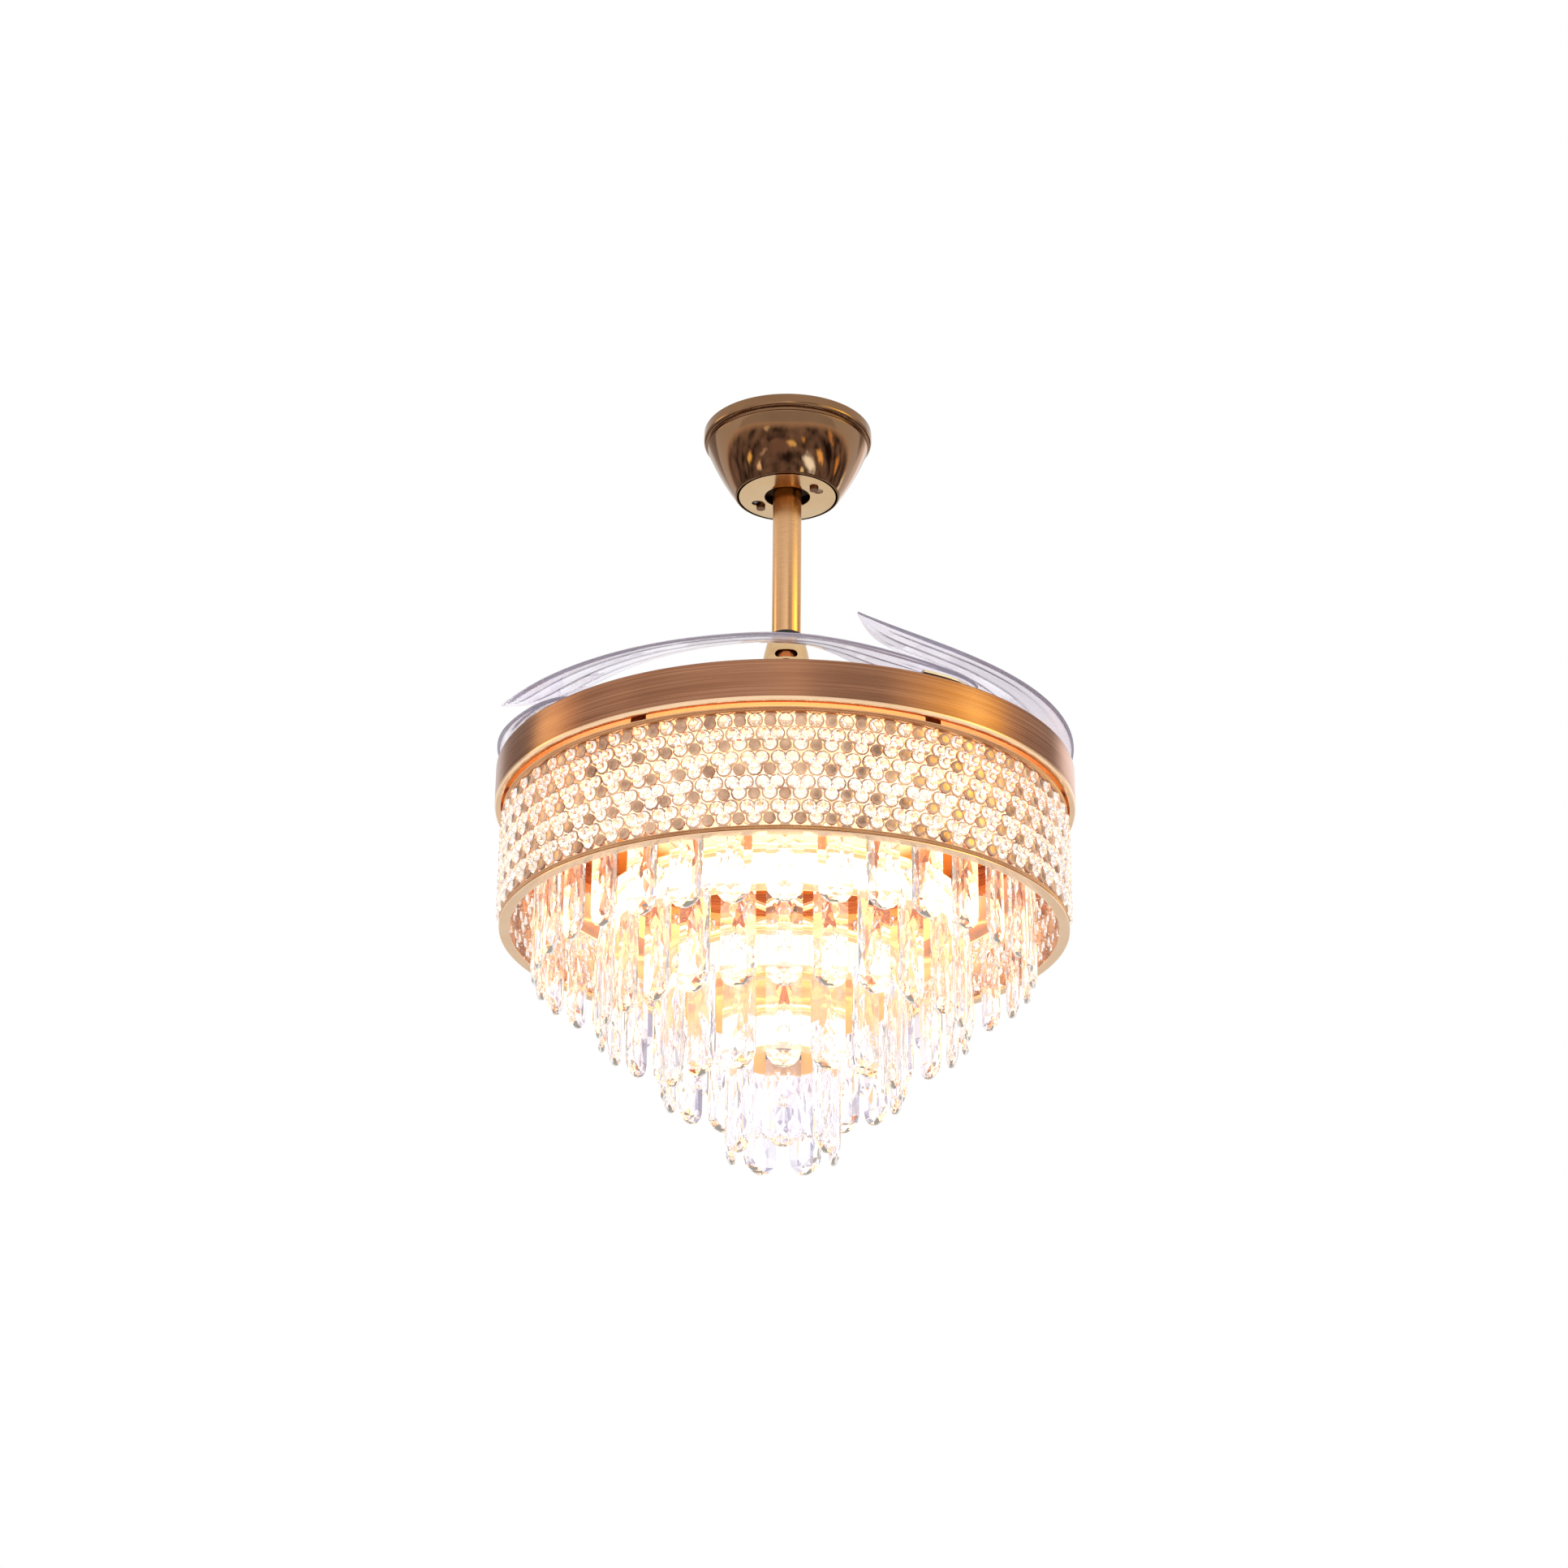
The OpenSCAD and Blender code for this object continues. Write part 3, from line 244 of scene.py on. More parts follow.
# a written colour as the linear light that it stands for
def linear(code):
    value = np.array([int(code[i:i + 2], 16) for i in (1, 3, 5)]) / 255
    value = np.where(value <= 0.04045, value / 12.92, ((value + 0.055) / 1.055) ** 2.4)
    return (*value.tolist(), 1.0)


# a colour times a strength, as a share of the strongest light its surface gives
def lit(code, strength, strongest):
    return (*[value * strength / strongest for value in linear(code)[:3]], 1.0)


def newGroup(name, inputs, output):
    group = bpy.data.node_groups.new(name, "ShaderNodeTree")
    group.interface.new_socket("Vector", in_out="INPUT", socket_type="NodeSocketVector")
    for label, value in inputs.items():
        group.interface.new_socket(label, in_out="INPUT", socket_type="NodeSocketFloat").default_value = value
    group.interface.new_socket(output, in_out="OUTPUT", socket_type="NodeSocketFloat")
    return group, group.nodes.new("NodeGroupInput").outputs, group.nodes.new("NodeGroupOutput").inputs


# a socket takes another node's output or a plain value
def give(tree, socket, value):
    if isinstance(value, bpy.types.NodeSocket):
        tree.links.new(value, socket)
    else:
        socket.default_value = value


def calc(tree, operation, *values, clamp=False):
    node = tree.nodes.new("ShaderNodeMath")
    node.operation = operation
    node.use_clamp = clamp
    for socket, value in zip(node.inputs, values):
        give(tree, socket, value)
    return node.outputs[0]


# sqrt(x^2 + y^2)
def flatLength(tree, x, y):
    return calc(tree, "SQRT", calc(tree, "ADD", calc(tree, "MULTIPLY", x, x), calc(tree, "MULTIPLY", y, y)))


# (value - start) * rate, held between 0 and 1
def rising(tree, value, start, rate):
    return calc(tree, "MULTIPLY", calc(tree, "SUBTRACT", value, start), rate, clamp=True)


def noise(tree, vector, scale, detail=3.0, roughness=0.55):
    node = tree.nodes.new("ShaderNodeTexNoise")
    tree.links.new(vector, node.inputs["Vector"])
    give(tree, node.inputs["Scale"], scale)
    node.inputs["Detail"].default_value = detail
    node.inputs["Roughness"].default_value = roughness
    return node.outputs[0]


def splitAxes(tree, vector):
    node = tree.nodes.new("ShaderNodeSeparateXYZ")
    tree.links.new(vector, node.inputs[0])
    return node.outputs


def joinAxes(tree, *values):
    node = tree.nodes.new("ShaderNodeCombineXYZ")
    for socket, value in zip(node.inputs, values):
        give(tree, socket, value)
    return node.outputs[0]


def blended(tree, mask, first, second):
    node = tree.nodes.new("ShaderNodeMix")
    node.data_type = "RGBA"
    tree.links.new(mask, node.inputs[0])
    for index, value in ((6, first), (7, second)):
        give(tree, node.inputs[index], linear(value) if isinstance(value, str) else value)
    return node.outputs[2]


def mixShaders(tree, mask, first, second, surface):
    mixed = tree.nodes.new("ShaderNodeMixShader")
    for socket, value in zip(mixed.inputs, (mask, first.outputs[0], second.outputs[0])):
        tree.links.new(value, socket)
    tree.links.new(mixed.outputs[0], surface)


# a colour ramp over `value`, from a list of (place, colour)
def ramp(tree, value, stops):
    node = tree.nodes.new("ShaderNodeValToRGB")
    tree.links.new(value, node.inputs[0])
    elements = node.color_ramp.elements
    while len(elements) < len(stops):
        elements.new(1.0)
    for element, (place, colour) in zip(elements, stops):
        element.position, element.color = place, colour
    return node.outputs[0]


def contrasted(tree, value, contrast):
    centred = calc(tree, "SUBTRACT", value, 0.5)
    return calc(tree, "MULTIPLY_ADD", centred, contrast, 0.5, clamp=True)


# brushing that runs round the axis: noise over the unit circle times Drift, and height times Lines
def makeRingGrain():
    group, given, result = newGroup("ringGrain", {"Lines": 900.0, "Drift": 2.0, "Contrast": 1.5}, "Mask")
    x, y, z = splitAxes(group, given["Vector"])
    length = flatLength(group, x, y)
    around = [calc(group, "MULTIPLY", calc(group, "DIVIDE", axis, length), given["Drift"]) for axis in (x, y)]
    place = joinAxes(group, *around, calc(group, "MULTIPLY", z, given["Lines"]))
    group.links.new(contrasted(group, noise(group, place, 1.0, 4.0, 0.7), given["Contrast"]), result["Mask"])
    return group


# broad patches of polish with finer smears over them
def makeSmears():
    group, given, result = newGroup("smears", {"Size": 18.0, "Contrast": 1.6}, "Mask")
    wide = noise(group, given["Vector"], given["Size"], 2.0)
    fine = noise(group, given["Vector"], calc(group, "MULTIPLY", given["Size"], 7.3), 4.0, 0.6)
    both = calc(group, "ADD", calc(group, "MULTIPLY", wide, 0.7), calc(group, "MULTIPLY", fine, 0.3))
    group.links.new(contrasted(group, both, given["Contrast"]), result["Mask"])
    return group


ringGrain = makeRingGrain()
smears = makeSmears()


class Look:
    def __init__(self, name):
        self.material = bpy.data.materials.new(name)
        self.material.use_nodes = True
        self.tree = self.material.node_tree
        self.shader = self.tree.nodes["Principled BSDF"]
        self.place = self.tree.nodes.new("ShaderNodeTexCoord").outputs["Object"]

    def plain(self, **values):
        for label, value in values.items():
            self.shader.inputs[label.replace("_", " ")].default_value = value
        return self

    def group(self, tree, **values):
        node = self.tree.nodes.new("ShaderNodeGroup")
        node.node_tree = tree
        self.tree.links.new(self.place, node.inputs["Vector"])
        for label, value in values.items():
            node.inputs[label].default_value = value
        return node.outputs[0]

    def blend(self, mask, first, second):
        return blended(self.tree, mask, first, second)

    def span(self, mask, least, most):
        node = self.tree.nodes.new("ShaderNodeMapRange")
        self.tree.links.new(mask, node.inputs[0])
        node.inputs["To Min"].default_value = least
        node.inputs["To Max"].default_value = most
        return node.outputs[0]

    def bump(self, height, distance):
        node = self.tree.nodes.new("ShaderNodeBump")
        node.inputs["Distance"].default_value = distance
        self.tree.links.new(height, node.inputs["Height"])
        return self.feed("Normal", node.outputs[0])

    def feed(self, label, socket):
        self.tree.links.new(socket, self.shader.inputs[label])
        return self


# the rod is satin gold; the orange over its last stretch under the canopy is painted reflection of the canopy
rodPaintedReflection = {"from": -0.092, "rate": 40.0, "colour": "#BC7A34"}


def rodLook():
    look = brushed("satinRod", "#D2A274", "#E8BE90", 0.24, 1100.0, 1.2, 0.000004, 1.2, 0.2)
    base = look.shader.inputs["Base Color"].links[0].from_socket
    height = splitAxes(look.tree, look.place)[2]
    # painted reflection: orange blended in over the rod's top stretch
    top = rising(look.tree, height, rodPaintedReflection["from"], rodPaintedReflection["rate"])
    return look.feed("Base Color", look.blend(top, base, rodPaintedReflection["colour"])).material


# metal brushed round the axis: two tones, roughness and fine grooves all follow the grain, and `streaks` is how
# far broader lines darken it
def brushed(name, dark, light, roughness, lines, drift, groove, contrast=1.5, anisotropic=0.5, streaks=0.0):
    look = Look(name).plain(Metallic=1.0, Anisotropic=anisotropic, Anisotropic_Rotation=0.25)
    grain = look.group(ringGrain, Lines=lines, Drift=drift, Contrast=contrast)
    broad = look.group(ringGrain, Lines=lines / 5, Drift=drift * 0.8, Contrast=3.0)
    worn = look.group(smears, Size=9.0)
    base = look.blend(look.span(broad, 0.0, streaks), look.blend(grain, dark, light), dark)
    look.feed("Base Color", look.blend(look.span(worn, 0.0, 0.25), base, dark))
    look.feed("Roughness", look.span(grain, roughness - 0.05, roughness + 0.07))
    return look.bump(grain, groove)


# smooth metal: slow colour change and smears in the polish; `glow` is painted light, an emission standing in for
# light thrown about inside the drum
def smoothLook(name, dark, light, roughness, size=16.0, dent=0.00002, contrast=1.6, glow=0.0, paintedGlowColour="#FFFFFF"):
    look = Look(name).plain(Metallic=1.0, Emission_Color=linear(paintedGlowColour), Emission_Strength=glow)
    mask = look.group(smears, Size=size, Contrast=contrast)
    look.feed("Base Color", look.blend(mask, dark, light))
    look.feed("Roughness", look.span(mask, roughness * 0.75, roughness * 1.35))
    return look.bump(mask, dent).material


# painted, cast or moulded skin: a little tone change and orange peel
def mouldedLook(name, dark, light, roughness, metallic=0.0, size=40.0, peel=0.00008, grain=900.0):
    look = Look(name).plain(Metallic=metallic)
    mask = look.group(smears, Size=size)
    look.feed("Base Color", look.blend(mask, dark, light))
    look.feed("Roughness", look.span(mask, roughness - 0.06, roughness + 0.08))
    return look.bump(noise(look.tree, look.place, grain, 2.0), peel).material


# clear stuff that lets lamplight through; `glow` is painted light, an emission standing in for the light its facets
# pick up from the strips
def clearLook(name, first, second, roughness, ior, clear=1.0, glow=0.0, paintedGlowColour="#FFF4E2"):
    look = Look(name).plain(Roughness=roughness, IOR=ior, Transmission_Weight=clear,
                            Emission_Color=linear(paintedGlowColour), Emission_Strength=glow)
    look.feed("Base Color", look.blend(look.group(smears, Size=30.0), first, second))
    rays = look.tree.nodes.new("ShaderNodeLightPath").outputs
    letThrough = look.tree.nodes.new("ShaderNodeBsdfTransparent")
    letThrough.inputs["Color"].default_value = (0.95, 0.94, 0.92, 1)
    surface = look.tree.nodes["Material Output"].inputs["Surface"]
    mixShaders(look.tree, rays["Is Shadow Ray"], look.shader, letThrough, surface)
    return look.material


# lit diffuser: warm white, a little brighter at each lamp, and toned down where it is looked at
strip = {"lamps": 96.0, "strength": 3.6, "seen": 1.02, "dim": "#FFE2B6", "bright": "#FFF8EC"}


def stripLook():
    look = Look("litDiffuser").plain(Roughness=0.5)
    rays = look.tree.nodes.new("ShaderNodeLightPath").outputs
    seen = calc(look.tree, "MAXIMUM", rays["Is Camera Ray"], rays["Is Transmission Ray"])
    look.feed("Emission Strength", look.span(seen, strip["strength"], strip["seen"]))
    x, y = splitAxes(look.tree, look.place)[:2]
    angle = calc(look.tree, "ARCTAN2", y, x)
    wave = calc(look.tree, "COSINE", calc(look.tree, "MULTIPLY", angle, strip["lamps"]))
    colour = look.blend(calc(look.tree, "MULTIPLY_ADD", wave, 0.5, 0.5), strip["dim"], strip["bright"])
    return look.feed("Base Color", colour).feed("Emission Color", colour).material


# the driver pan is cream inside the drum; the orange towards its edge, where it only sees gold, is painted reflection
# of the gold around it
pan = {"dark": "#EACB98", "light": "#F5DFBA", "reflectionFrom": 0.16, "reflectionRate": 40.0, "rim": "#D07828"}


def panLook():
    look = Look("panPaint").plain(Metallic=0.2, Roughness=0.45)
    radius = flatLength(look.tree, *splitAxes(look.tree, look.place)[:2])
    # painted reflection: orange blended in towards the pan's edge
    rim = rising(look.tree, radius, pan["reflectionFrom"], pan["reflectionRate"])
    paint = look.blend(look.group(smears, Size=40.0), pan["dark"], pan["light"])
    look.feed("Base Color", look.blend(rim, paint, pan["rim"]))
    return look.bump(noise(look.tree, look.place, 900.0, 2.0), 0.00008).material


looks = {
    "bronze": smoothLook("polishedBronze", "#86664C", "#9C7858", 0.07, 14.0),
    "cream": smoothLook("creamGold", "#E0BC8C", "#F4D6AC", 0.13, 20.0),
    "rod": rodLook(),
    "bell": smoothLook("bellGold", "#CDA87A", "#E6C698", 0.24, 25.0),
    "band": brushed("brushedRose", "#8E6048", "#D29C7A", 0.25, 700.0, 1.0, 0.000014, 2.4, 0.8, 0.6).material,
    "lip": smoothLook("rolledLip", "#F2C79C", "#FFE0BC", 0.18, 30.0),
    "trim": smoothLook("trimGold", "#BE8E68", "#E0B68C", 0.26, 30.0),
    # latticeGold and hoopGold carry painted glow: emission standing in for light thrown about inside the drum
    "lattice": smoothLook("latticeGold", "#92664A", "#ECC4A2", 0.27, 42.0, 0.00002, 3.0, 0.08, "#FFEEE2"),
    "hoop": smoothLook("hoopGold", "#DCA264", "#F6D8A6", 0.16, 10.0, 0.00002, 1.6, 0.32, "#FFEBCC"),
    "carrier": smoothLook("carrierBronze", "#6B4C36", "#8E694C", 0.36, 14.0),
    "arm": smoothLook("armSteel", "#B4AFBA", "#D4D0D8", 0.34, 22.0),
    "pan": panLook(),
    "steel": smoothLook("zincSteel", "#9C9EA2", "#C2C4C6", 0.30, 40.0),
    "cast": mouldedLook("castCase", "#A9ABAE", "#C4C6C8", 0.42, 1.0, 30.0, 0.00012, 1400.0),
    "copper": smoothLook("copperPlate", "#A2552F", "#C77845", 0.28, 35.0),
    "coil": smoothLook("enamelWire", "#8A4322", "#B4622F", 0.32, 60.0),
    "iron": mouldedLook("statorIron", "#4E5256", "#686C70", 0.5, 1.0, 40.0),
    "screw": smoothLook("bronzeScrew", "#6E4A33", "#8E6447", 0.28, 60.0),
    "rubber": mouldedLook("blackRubber", "#0E0D0D", "#1B1918", 0.62),
    "nylon": mouldedLook("naturalNylon", "#D9D2C2", "#ECE7DC", 0.45),
    "ivory": mouldedLook("ivoryPlastic", "#DCD2B4", "#EDE6D0", 0.48),
    "white": mouldedLook("whitePlastic", "#DADADA", "#F0F0EE", 0.42),
    "lead": mouldedLook("blueLead", "#26307A", "#4252B4", 0.32),
    # cutCrystal, beadGlass and clearAcrylic carry painted glow: emission standing in for light from the strips
    "crystal": clearLook("cutCrystal", "#F6F4FA", "#FDFCFE", 0.0, 1.5, 1.0, 0.05),
    "bead": clearLook("beadGlass", "#FFFCF8", "#FBF4EA", 0.01, 1.5, 1.0, 0.07, "#FFF8F0"),
    "blade": clearLook("clearAcrylic", "#EEE9F2", "#F8F5FA", 0.01, 1.38, 0.96, 0.05, "#D8D0E8"),
    "strip": stripLook(),
}
print("materials made:", len(looks))

# The two leads go from the driver's underside to a spoke of the first hoop:
# a smooth step 3t^2 - 2t^3 sideways over a steady fall.
leads = {"x": 20.0, "y": -80.0, "side": 56.0, "apart": 4.0, "radius": 1.0, "spokeTop": 3.0, "steps": 16}


def leadPath(offset):
    t = np.linspace(0, 1, leads["steps"] + 1)
    top, foot = low("led_driver"), high("tier_frame_1") - leads["spokeTop"] * mm
    x = (leads["x"] + leads["side"] * (3 * t ** 2 - 2 * t ** 3)) * mm
    return np.stack([x, np.full(len(t), (leads["y"] + offset) * mm), top + (foot - top) * t], -1)


for number, offset in enumerate((0, leads["apart"]), 1):
    path = leadPath(offset)
    lead = makePiece(f"lead_{number}", wire(path, leads["radius"] * mm, 12), looks["lead"], "fixture",
                     ["led_leads"] if number == 1 else (), 60)
print("leads made")

canopy = {"rim": 76.0, "lip": 7.5, "groove": 4.2, "grooveH": 5.0, "shoulder": 3.5, "bulge": 1.5, "plate": 46.5,
          "wall": 1.2, "bowlWall": 1.5, "hole": 20.5, "slotAt": 30.0, "slot": 2.3, "entry": 4.5, "azimuth": 53.0,
          "twist": 14.0, "plateEdge": 0.25, "steps": 256, "arcSteps": 28}


# rolled lip, groove and bowl: straight runs and two arcs in (radius, height), turned about Z
def canopyBowl():
    c = canopy
    drop = -low("canopy") / mm
    bowlTop = np.array([c["rim"] - c["shoulder"], -c["lip"] - c["grooveH"] - 2])
    bowlFoot = np.array([c["plate"] + 1, 1.5 - drop])
    outer = arcBetween(bowlTop, bowlFoot, c["bulge"], c["arcSteps"])
    inner = arcBetween(bowlTop - [c["bowlWall"], 0], bowlFoot + [-c["bowlWall"], 1], c["bulge"], c["arcSteps"])[::-1]
    inset, under = c["rim"] - c["groove"], -c["lip"] - c["grooveH"] / 2
    corners = [(c["rim"], 0), (c["rim"], under + 0.6), (c["rim"] - 1.9, under - 0.8), (inset, under - 1),
               (inset, bowlTop[1] + 1), *outer, (c["plate"], -drop), (c["plate"] - 3, -drop),
               (c["plate"] - 3, c["wall"] - drop), *inner, (inset - c["wall"], bowlTop[1] + 1),
               (inset - c["wall"], 0)]
    cuts = [0.4, 2.4, 1.0, 0.5, 0.4, 0.8] + [0] * (len(outer) - 1) + [0.8] + [0] * (len(inner) + 4)
    return turned(roundCorners(corners, cuts, 6) * mm, c["steps"])


# a flat curve with holes, thickened, with a small round on its edges; its doubles are merged
def flatPlate(name, loops, bottom, thickness, edge):
    curve = bpy.data.curves.new(name, "CURVE")
    curve.dimensions = "2D"
    curve.fill_mode = "BOTH"
    curve.extrude = thickness / 2 - edge
    curve.bevel_depth = edge
    curve.bevel_resolution = 2
    curve.offset = -edge
    for loop in loops:
        line = curve.splines.new("POLY")
        line.points.add(len(loop) - 1)
        flat = np.concatenate([loop, np.zeros((len(loop), 1)), np.ones((len(loop), 1))], 1)
        line.points.foreach_set("co", flat.astype(np.float32).ravel())
        line.use_cyclic_u = True
    holder = addObject(name, curve)
    bpy.context.view_layer.update()
    mesh = bpy.data.meshes.new_from_object(holder.evaluated_get(bpy.context.evaluated_depsgraph_get()))
    bpy.data.objects.remove(holder)
    soup = bmesh.new()
    soup.from_mesh(mesh)
    bmesh.ops.remove_doubles(soup, verts=soup.verts, dist=1e-6)
    bmesh.ops.recalc_face_normals(soup, faces=soup.faces)
    soup.to_mesh(mesh)
    soup.free()
    points = np.zeros(len(mesh.vertices) * 3, np.float32)
    mesh.vertices.foreach_get("co", points)
    faces = [list(face.vertices) for face in mesh.polygons]
    return points.reshape(-1, 3).astype(float) + [0, 0, bottom + thickness / 2], faces


# part of a circle about a place on the slot's circle; its own axes run along the slot and outwards
def arcAt(azimuth, radius, start, end, steps):
    a = np.linspace(start, end, steps)[:, None]
    outwards = np.array([np.sin(azimuth), -np.cos(azimuth)])
    along = np.array([np.cos(azimuth), np.sin(azimuth)])
    return canopy["slotAt"] * outwards + radius * (np.cos(a) * along + np.sin(a) * outwards)


def keyholeLoop(turn):
    c = canopy
    narrow = np.radians(c["azimuth"] + turn)
    opening = np.pi - np.arcsin(c["slot"] / c["entry"])
    wideEnd = arcAt(narrow + np.radians(c["twist"]), c["entry"], -opening, opening, 27)
    return np.concatenate([arcAt(narrow, c["slot"], np.pi / 2, 3 * np.pi / 2, 13), wideEnd]) * mm


def canopyPlate():
    c = canopy
    angle = roundSteps(160)
    loops = [roundZ((c["plate"] - 0.8) * mm, angle, 0)[:, :2], roundZ(c["hole"] * mm, angle, 0)[:, :2],
             keyholeLoop(0), keyholeLoop(180)]
    return flatPlate("canopyPlateOutline", loops, low("canopy"), c["wall"] * mm, c["plateEdge"] * mm)


makePiece("canopy_bowl", canopyBowl(), looks["bronze"], "canopy", ["canopy"], 50)
makePiece("canopy_plate", canopyPlate(), looks["cream"], "canopy", (), 30)
print("canopy made")

rod = {"radius": 12.85, "wall": 1.6, "steps": 96, "collarTop": 14.1, "collarFoot": 16.6}


# a round tube and a cone-shaped collar: rounded sections turned about Z
def rodTube():
    r, inner = rod["radius"] * mm, (rod["radius"] - rod["wall"]) * mm
    return plainRing(inner, r, low("downrod"), high("downrod"), 0.4 * mm, 4, rod["steps"])


def collarRing():
    bottom, top = low("rod_collar"), high("rod_collar")
    inner = (rod["radius"] + 0.1) * mm
    foot, crown = rod["collarFoot"] * mm, rod["collarTop"] * mm
    corners = [(inner, bottom), (foot, bottom), (foot - 0.4 * mm, bottom + 2.5 * mm), (crown, top), (inner, top)]
    return turned(roundCorners(corners, np.array([0.1, 0.5, 1.5, 1.2, 0.2]) * mm, 6), rod["steps"])


makePiece("rod_tube", rodTube(), looks["rod"], "fixture", ["downrod"])
makePiece("rod_collar_rubber", collarRing(), looks["rubber"], "fixture", ["rod_collar"])
print("downrod made")

band = {"wall": 1.2, "topRound": 1.6, "lipH": 3.4, "lipIn": 5.5, "flange": 12.0, "steps": 384}


# the band's upright wall with its rolled top, and the bright lip curled in under it
def bandWall():
    r, top, bottom = reach("band_ring"), high("band_ring"), low("band_ring")
    w, lip = band["wall"] * mm, bottom + band["lipH"] * mm
    inner = r - band["flange"] * mm
    corners = [(r, lip), (r, top), (inner, top), (inner, top - w), (r - w, top - w), (r - w, lip)]
    cuts = np.array([0.1, band["topRound"], 0.4, 0.4, 0.6, 0.1]) * mm
    return turned(roundCorners(corners, cuts, 6), band["steps"])


def bandLip():
    r, bottom = reach("band_ring"), low("band_ring")
    w, start = band["wall"] * mm, bottom + band["lipH"] * mm
    inner = r - band["lipIn"] * mm
    corners = [(r, start), (r - w, start), (r - w - 1.0 * mm, bottom + 1.4 * mm), (inner, bottom + 1.2 * mm),
               (inner, bottom), (r - 0.4 * mm, bottom)]
    return turned(roundCorners(corners, np.array([0.1, 0.1, 1.0, 0.4, 0.4, 3.0]) * mm, 8), band["steps"])


makePiece("band_wall", bandWall(), looks["band"], "fixture", ["band_ring"], 50)
makePiece("band_lip", bandLip(), looks["lip"], "fixture", (), 50)
print("band made")

trim = {"ribPitch": 1.6, "ribDepth": 0.28, "perRib": 4, "bead": 0.5, "foot": 3.4, "shelf": 7.5, "ring": 9.0,
        "ringH": 1.5}


# upright ribs between two smooth beads, r + depth cos(ribs * angle) on the middle of the section
def ribbedTrim(radius, bottom, top, shelf):
    ribs = int(round(fullTurn * radius / (trim["ribPitch"] * mm)))
    share = np.array([0, 0.12, 0.26, 0.32, 0.5, 0.68, 0.74, 0.88, 1])
    out = np.array([-0.6, 0.5, 0.3, -0.3, 0.1, -0.3, 0.3, 0.5, -0.6]) * mm
    outside = np.stack([radius + out, bottom + share * (top - bottom)], -1)
    foot, inner = radius - trim["foot"] * mm, radius - shelf * mm
    inside = [(inner, top), (inner, top - 1.2 * mm), (foot, top - 1.4 * mm), (foot, bottom)]
    ribbed = [0, 0, 0, 1, 1, 1, 0, 0, 0, 0, 0, 0, 0]
    return turned(np.concatenate([outside, inside]), ribs * trim["perRib"], ribs, trim["ribDepth"] * mm, ribbed)


def bottomRing():
    r, bottom = reach("drum_bottom_rim"), low("drum_bottom_rim")
    inner, top = r - trim["ring"] * mm, bottom + trim["ringH"] * mm
    return plainRing(inner, r, bottom, top, 0.6 * mm, 6, band["steps"])


for end, foot, shelf in (("top", 0, trim["shelf"]), ("bottom", trim["ringH"] * mm, trim["foot"] + 0.2)):
    rim = f"drum_{end}_rim"
    ribbed = ribbedTrim(reach(rim) - trim["bead"] * mm, low(rim) + foot, high(rim), shelf)
    makePiece(f"drum_{end}_trim", ribbed, looks["trim"], "fixture", [rim], 60)
makePiece("drum_bottom_ring", bottomRing(), looks["lip"], "fixture", (), 60)
print("drum trims made")

# The pierced drum: a web round every opening, a raised disc between them, glass in the openings.
drum = {"radius": 240.0, "wall": 1.2, "groups": 62, "rows": 4, "rowStep": 20.8, "beadR": 5.5, "lobeX": 5.39,
        "lobeZ": 4.4, "webW": 1.1, "discR": 5.1, "discH": 2.2, "discDrop": 5.6, "beadDrop": 6.0, "firstRow": 22.0,
        "glassDepth": 4.9, "seat": 0.4}
drumTop = high("drum_lattice")
rowHeights = drumTop - (drum["firstRow"] + drum["rowStep"] * np.arange(drum["rows"])) * mm
halfPitch = np.pi / drum["groups"]
rowAngles = 2 * halfPitch * np.arange(drum["groups"])
rowTurns = [halfPitch if row % 2 == 0 else 0 for row in range(drum["rows"])]
lobes = [(drum["lobeX"], drum["lobeZ"]), (-drum["lobeX"], drum["lobeZ"]), (0.0, -drum["lobeZ"])]


# distance from the middle to the outline of three lobes along a ray: the furthest of c.u + sqrt(r^2 - c.c + (c.u)^2)
def trefoilReach(angle, lobeR):
    centres = np.array(lobes)
    along = np.stack([np.cos(angle), np.sin(angle)], -1) @ centres.T
    square = lobeR ** 2 - (centres ** 2).sum(1) + along ** 2
    return np.where(square > 0, along + np.sqrt(np.maximum(square, 0)), 0).max(1)


# a flat web between two outlines given by their reach at each angle, with a small step at its inner edge
def webRing(inner, outer, angle, wall):
    ray = np.stack([np.cos(angle), 0 * angle, np.sin(angle)], -1)
    lines = [(inner, -wall - 0.3), (inner + 0.5, -wall - 0.3), (outer, -wall), (outer, 0.0), (inner, 0.0)]
    rings = [ray * np.broadcast_to(edge, len(angle))[:, None] + [0, depth, 0] for edge, depth in lines]
    return np.stack(rings, 1).reshape(-1, 3) * mm, gridFaces(len(angle), len(lines), True, True).tolist()


def trefoilWeb():
    angle = roundSteps(33) + 0.05
    inner, outer = (trefoilReach(angle, drum["beadR"] + step) for step in (-drum["seat"], drum["webW"]))
    return webRing(inner, outer, angle, drum["wall"])


def beadWeb():
    return webRing(drum["beadR"] - drum["seat"], drum["beadR"] + drum["webW"], roundSteps(16), drum["wall"])


# a round button: rings of growing radius, stepping back from a slightly domed face
def disc(radius, height, sides=16):
    rings = [(0.55, -height), (0.88, -height * 0.97), (0.99, -height * 0.8), (1.0, 0.0)]
    angle = roundSteps(sides)
    ray = np.stack([np.cos(angle), 0 * angle, np.sin(angle)], -1)
    points = np.concatenate([ray * radius * share + [0, depth, 0] for share, depth in rings])
    faces = gridFaces(len(rings), sides, False, True).tolist()
    last = (len(rings) - 1) * sides
    return points * mm, faces + [list(range(sides))[::-1], list(range(last, last + sides))]


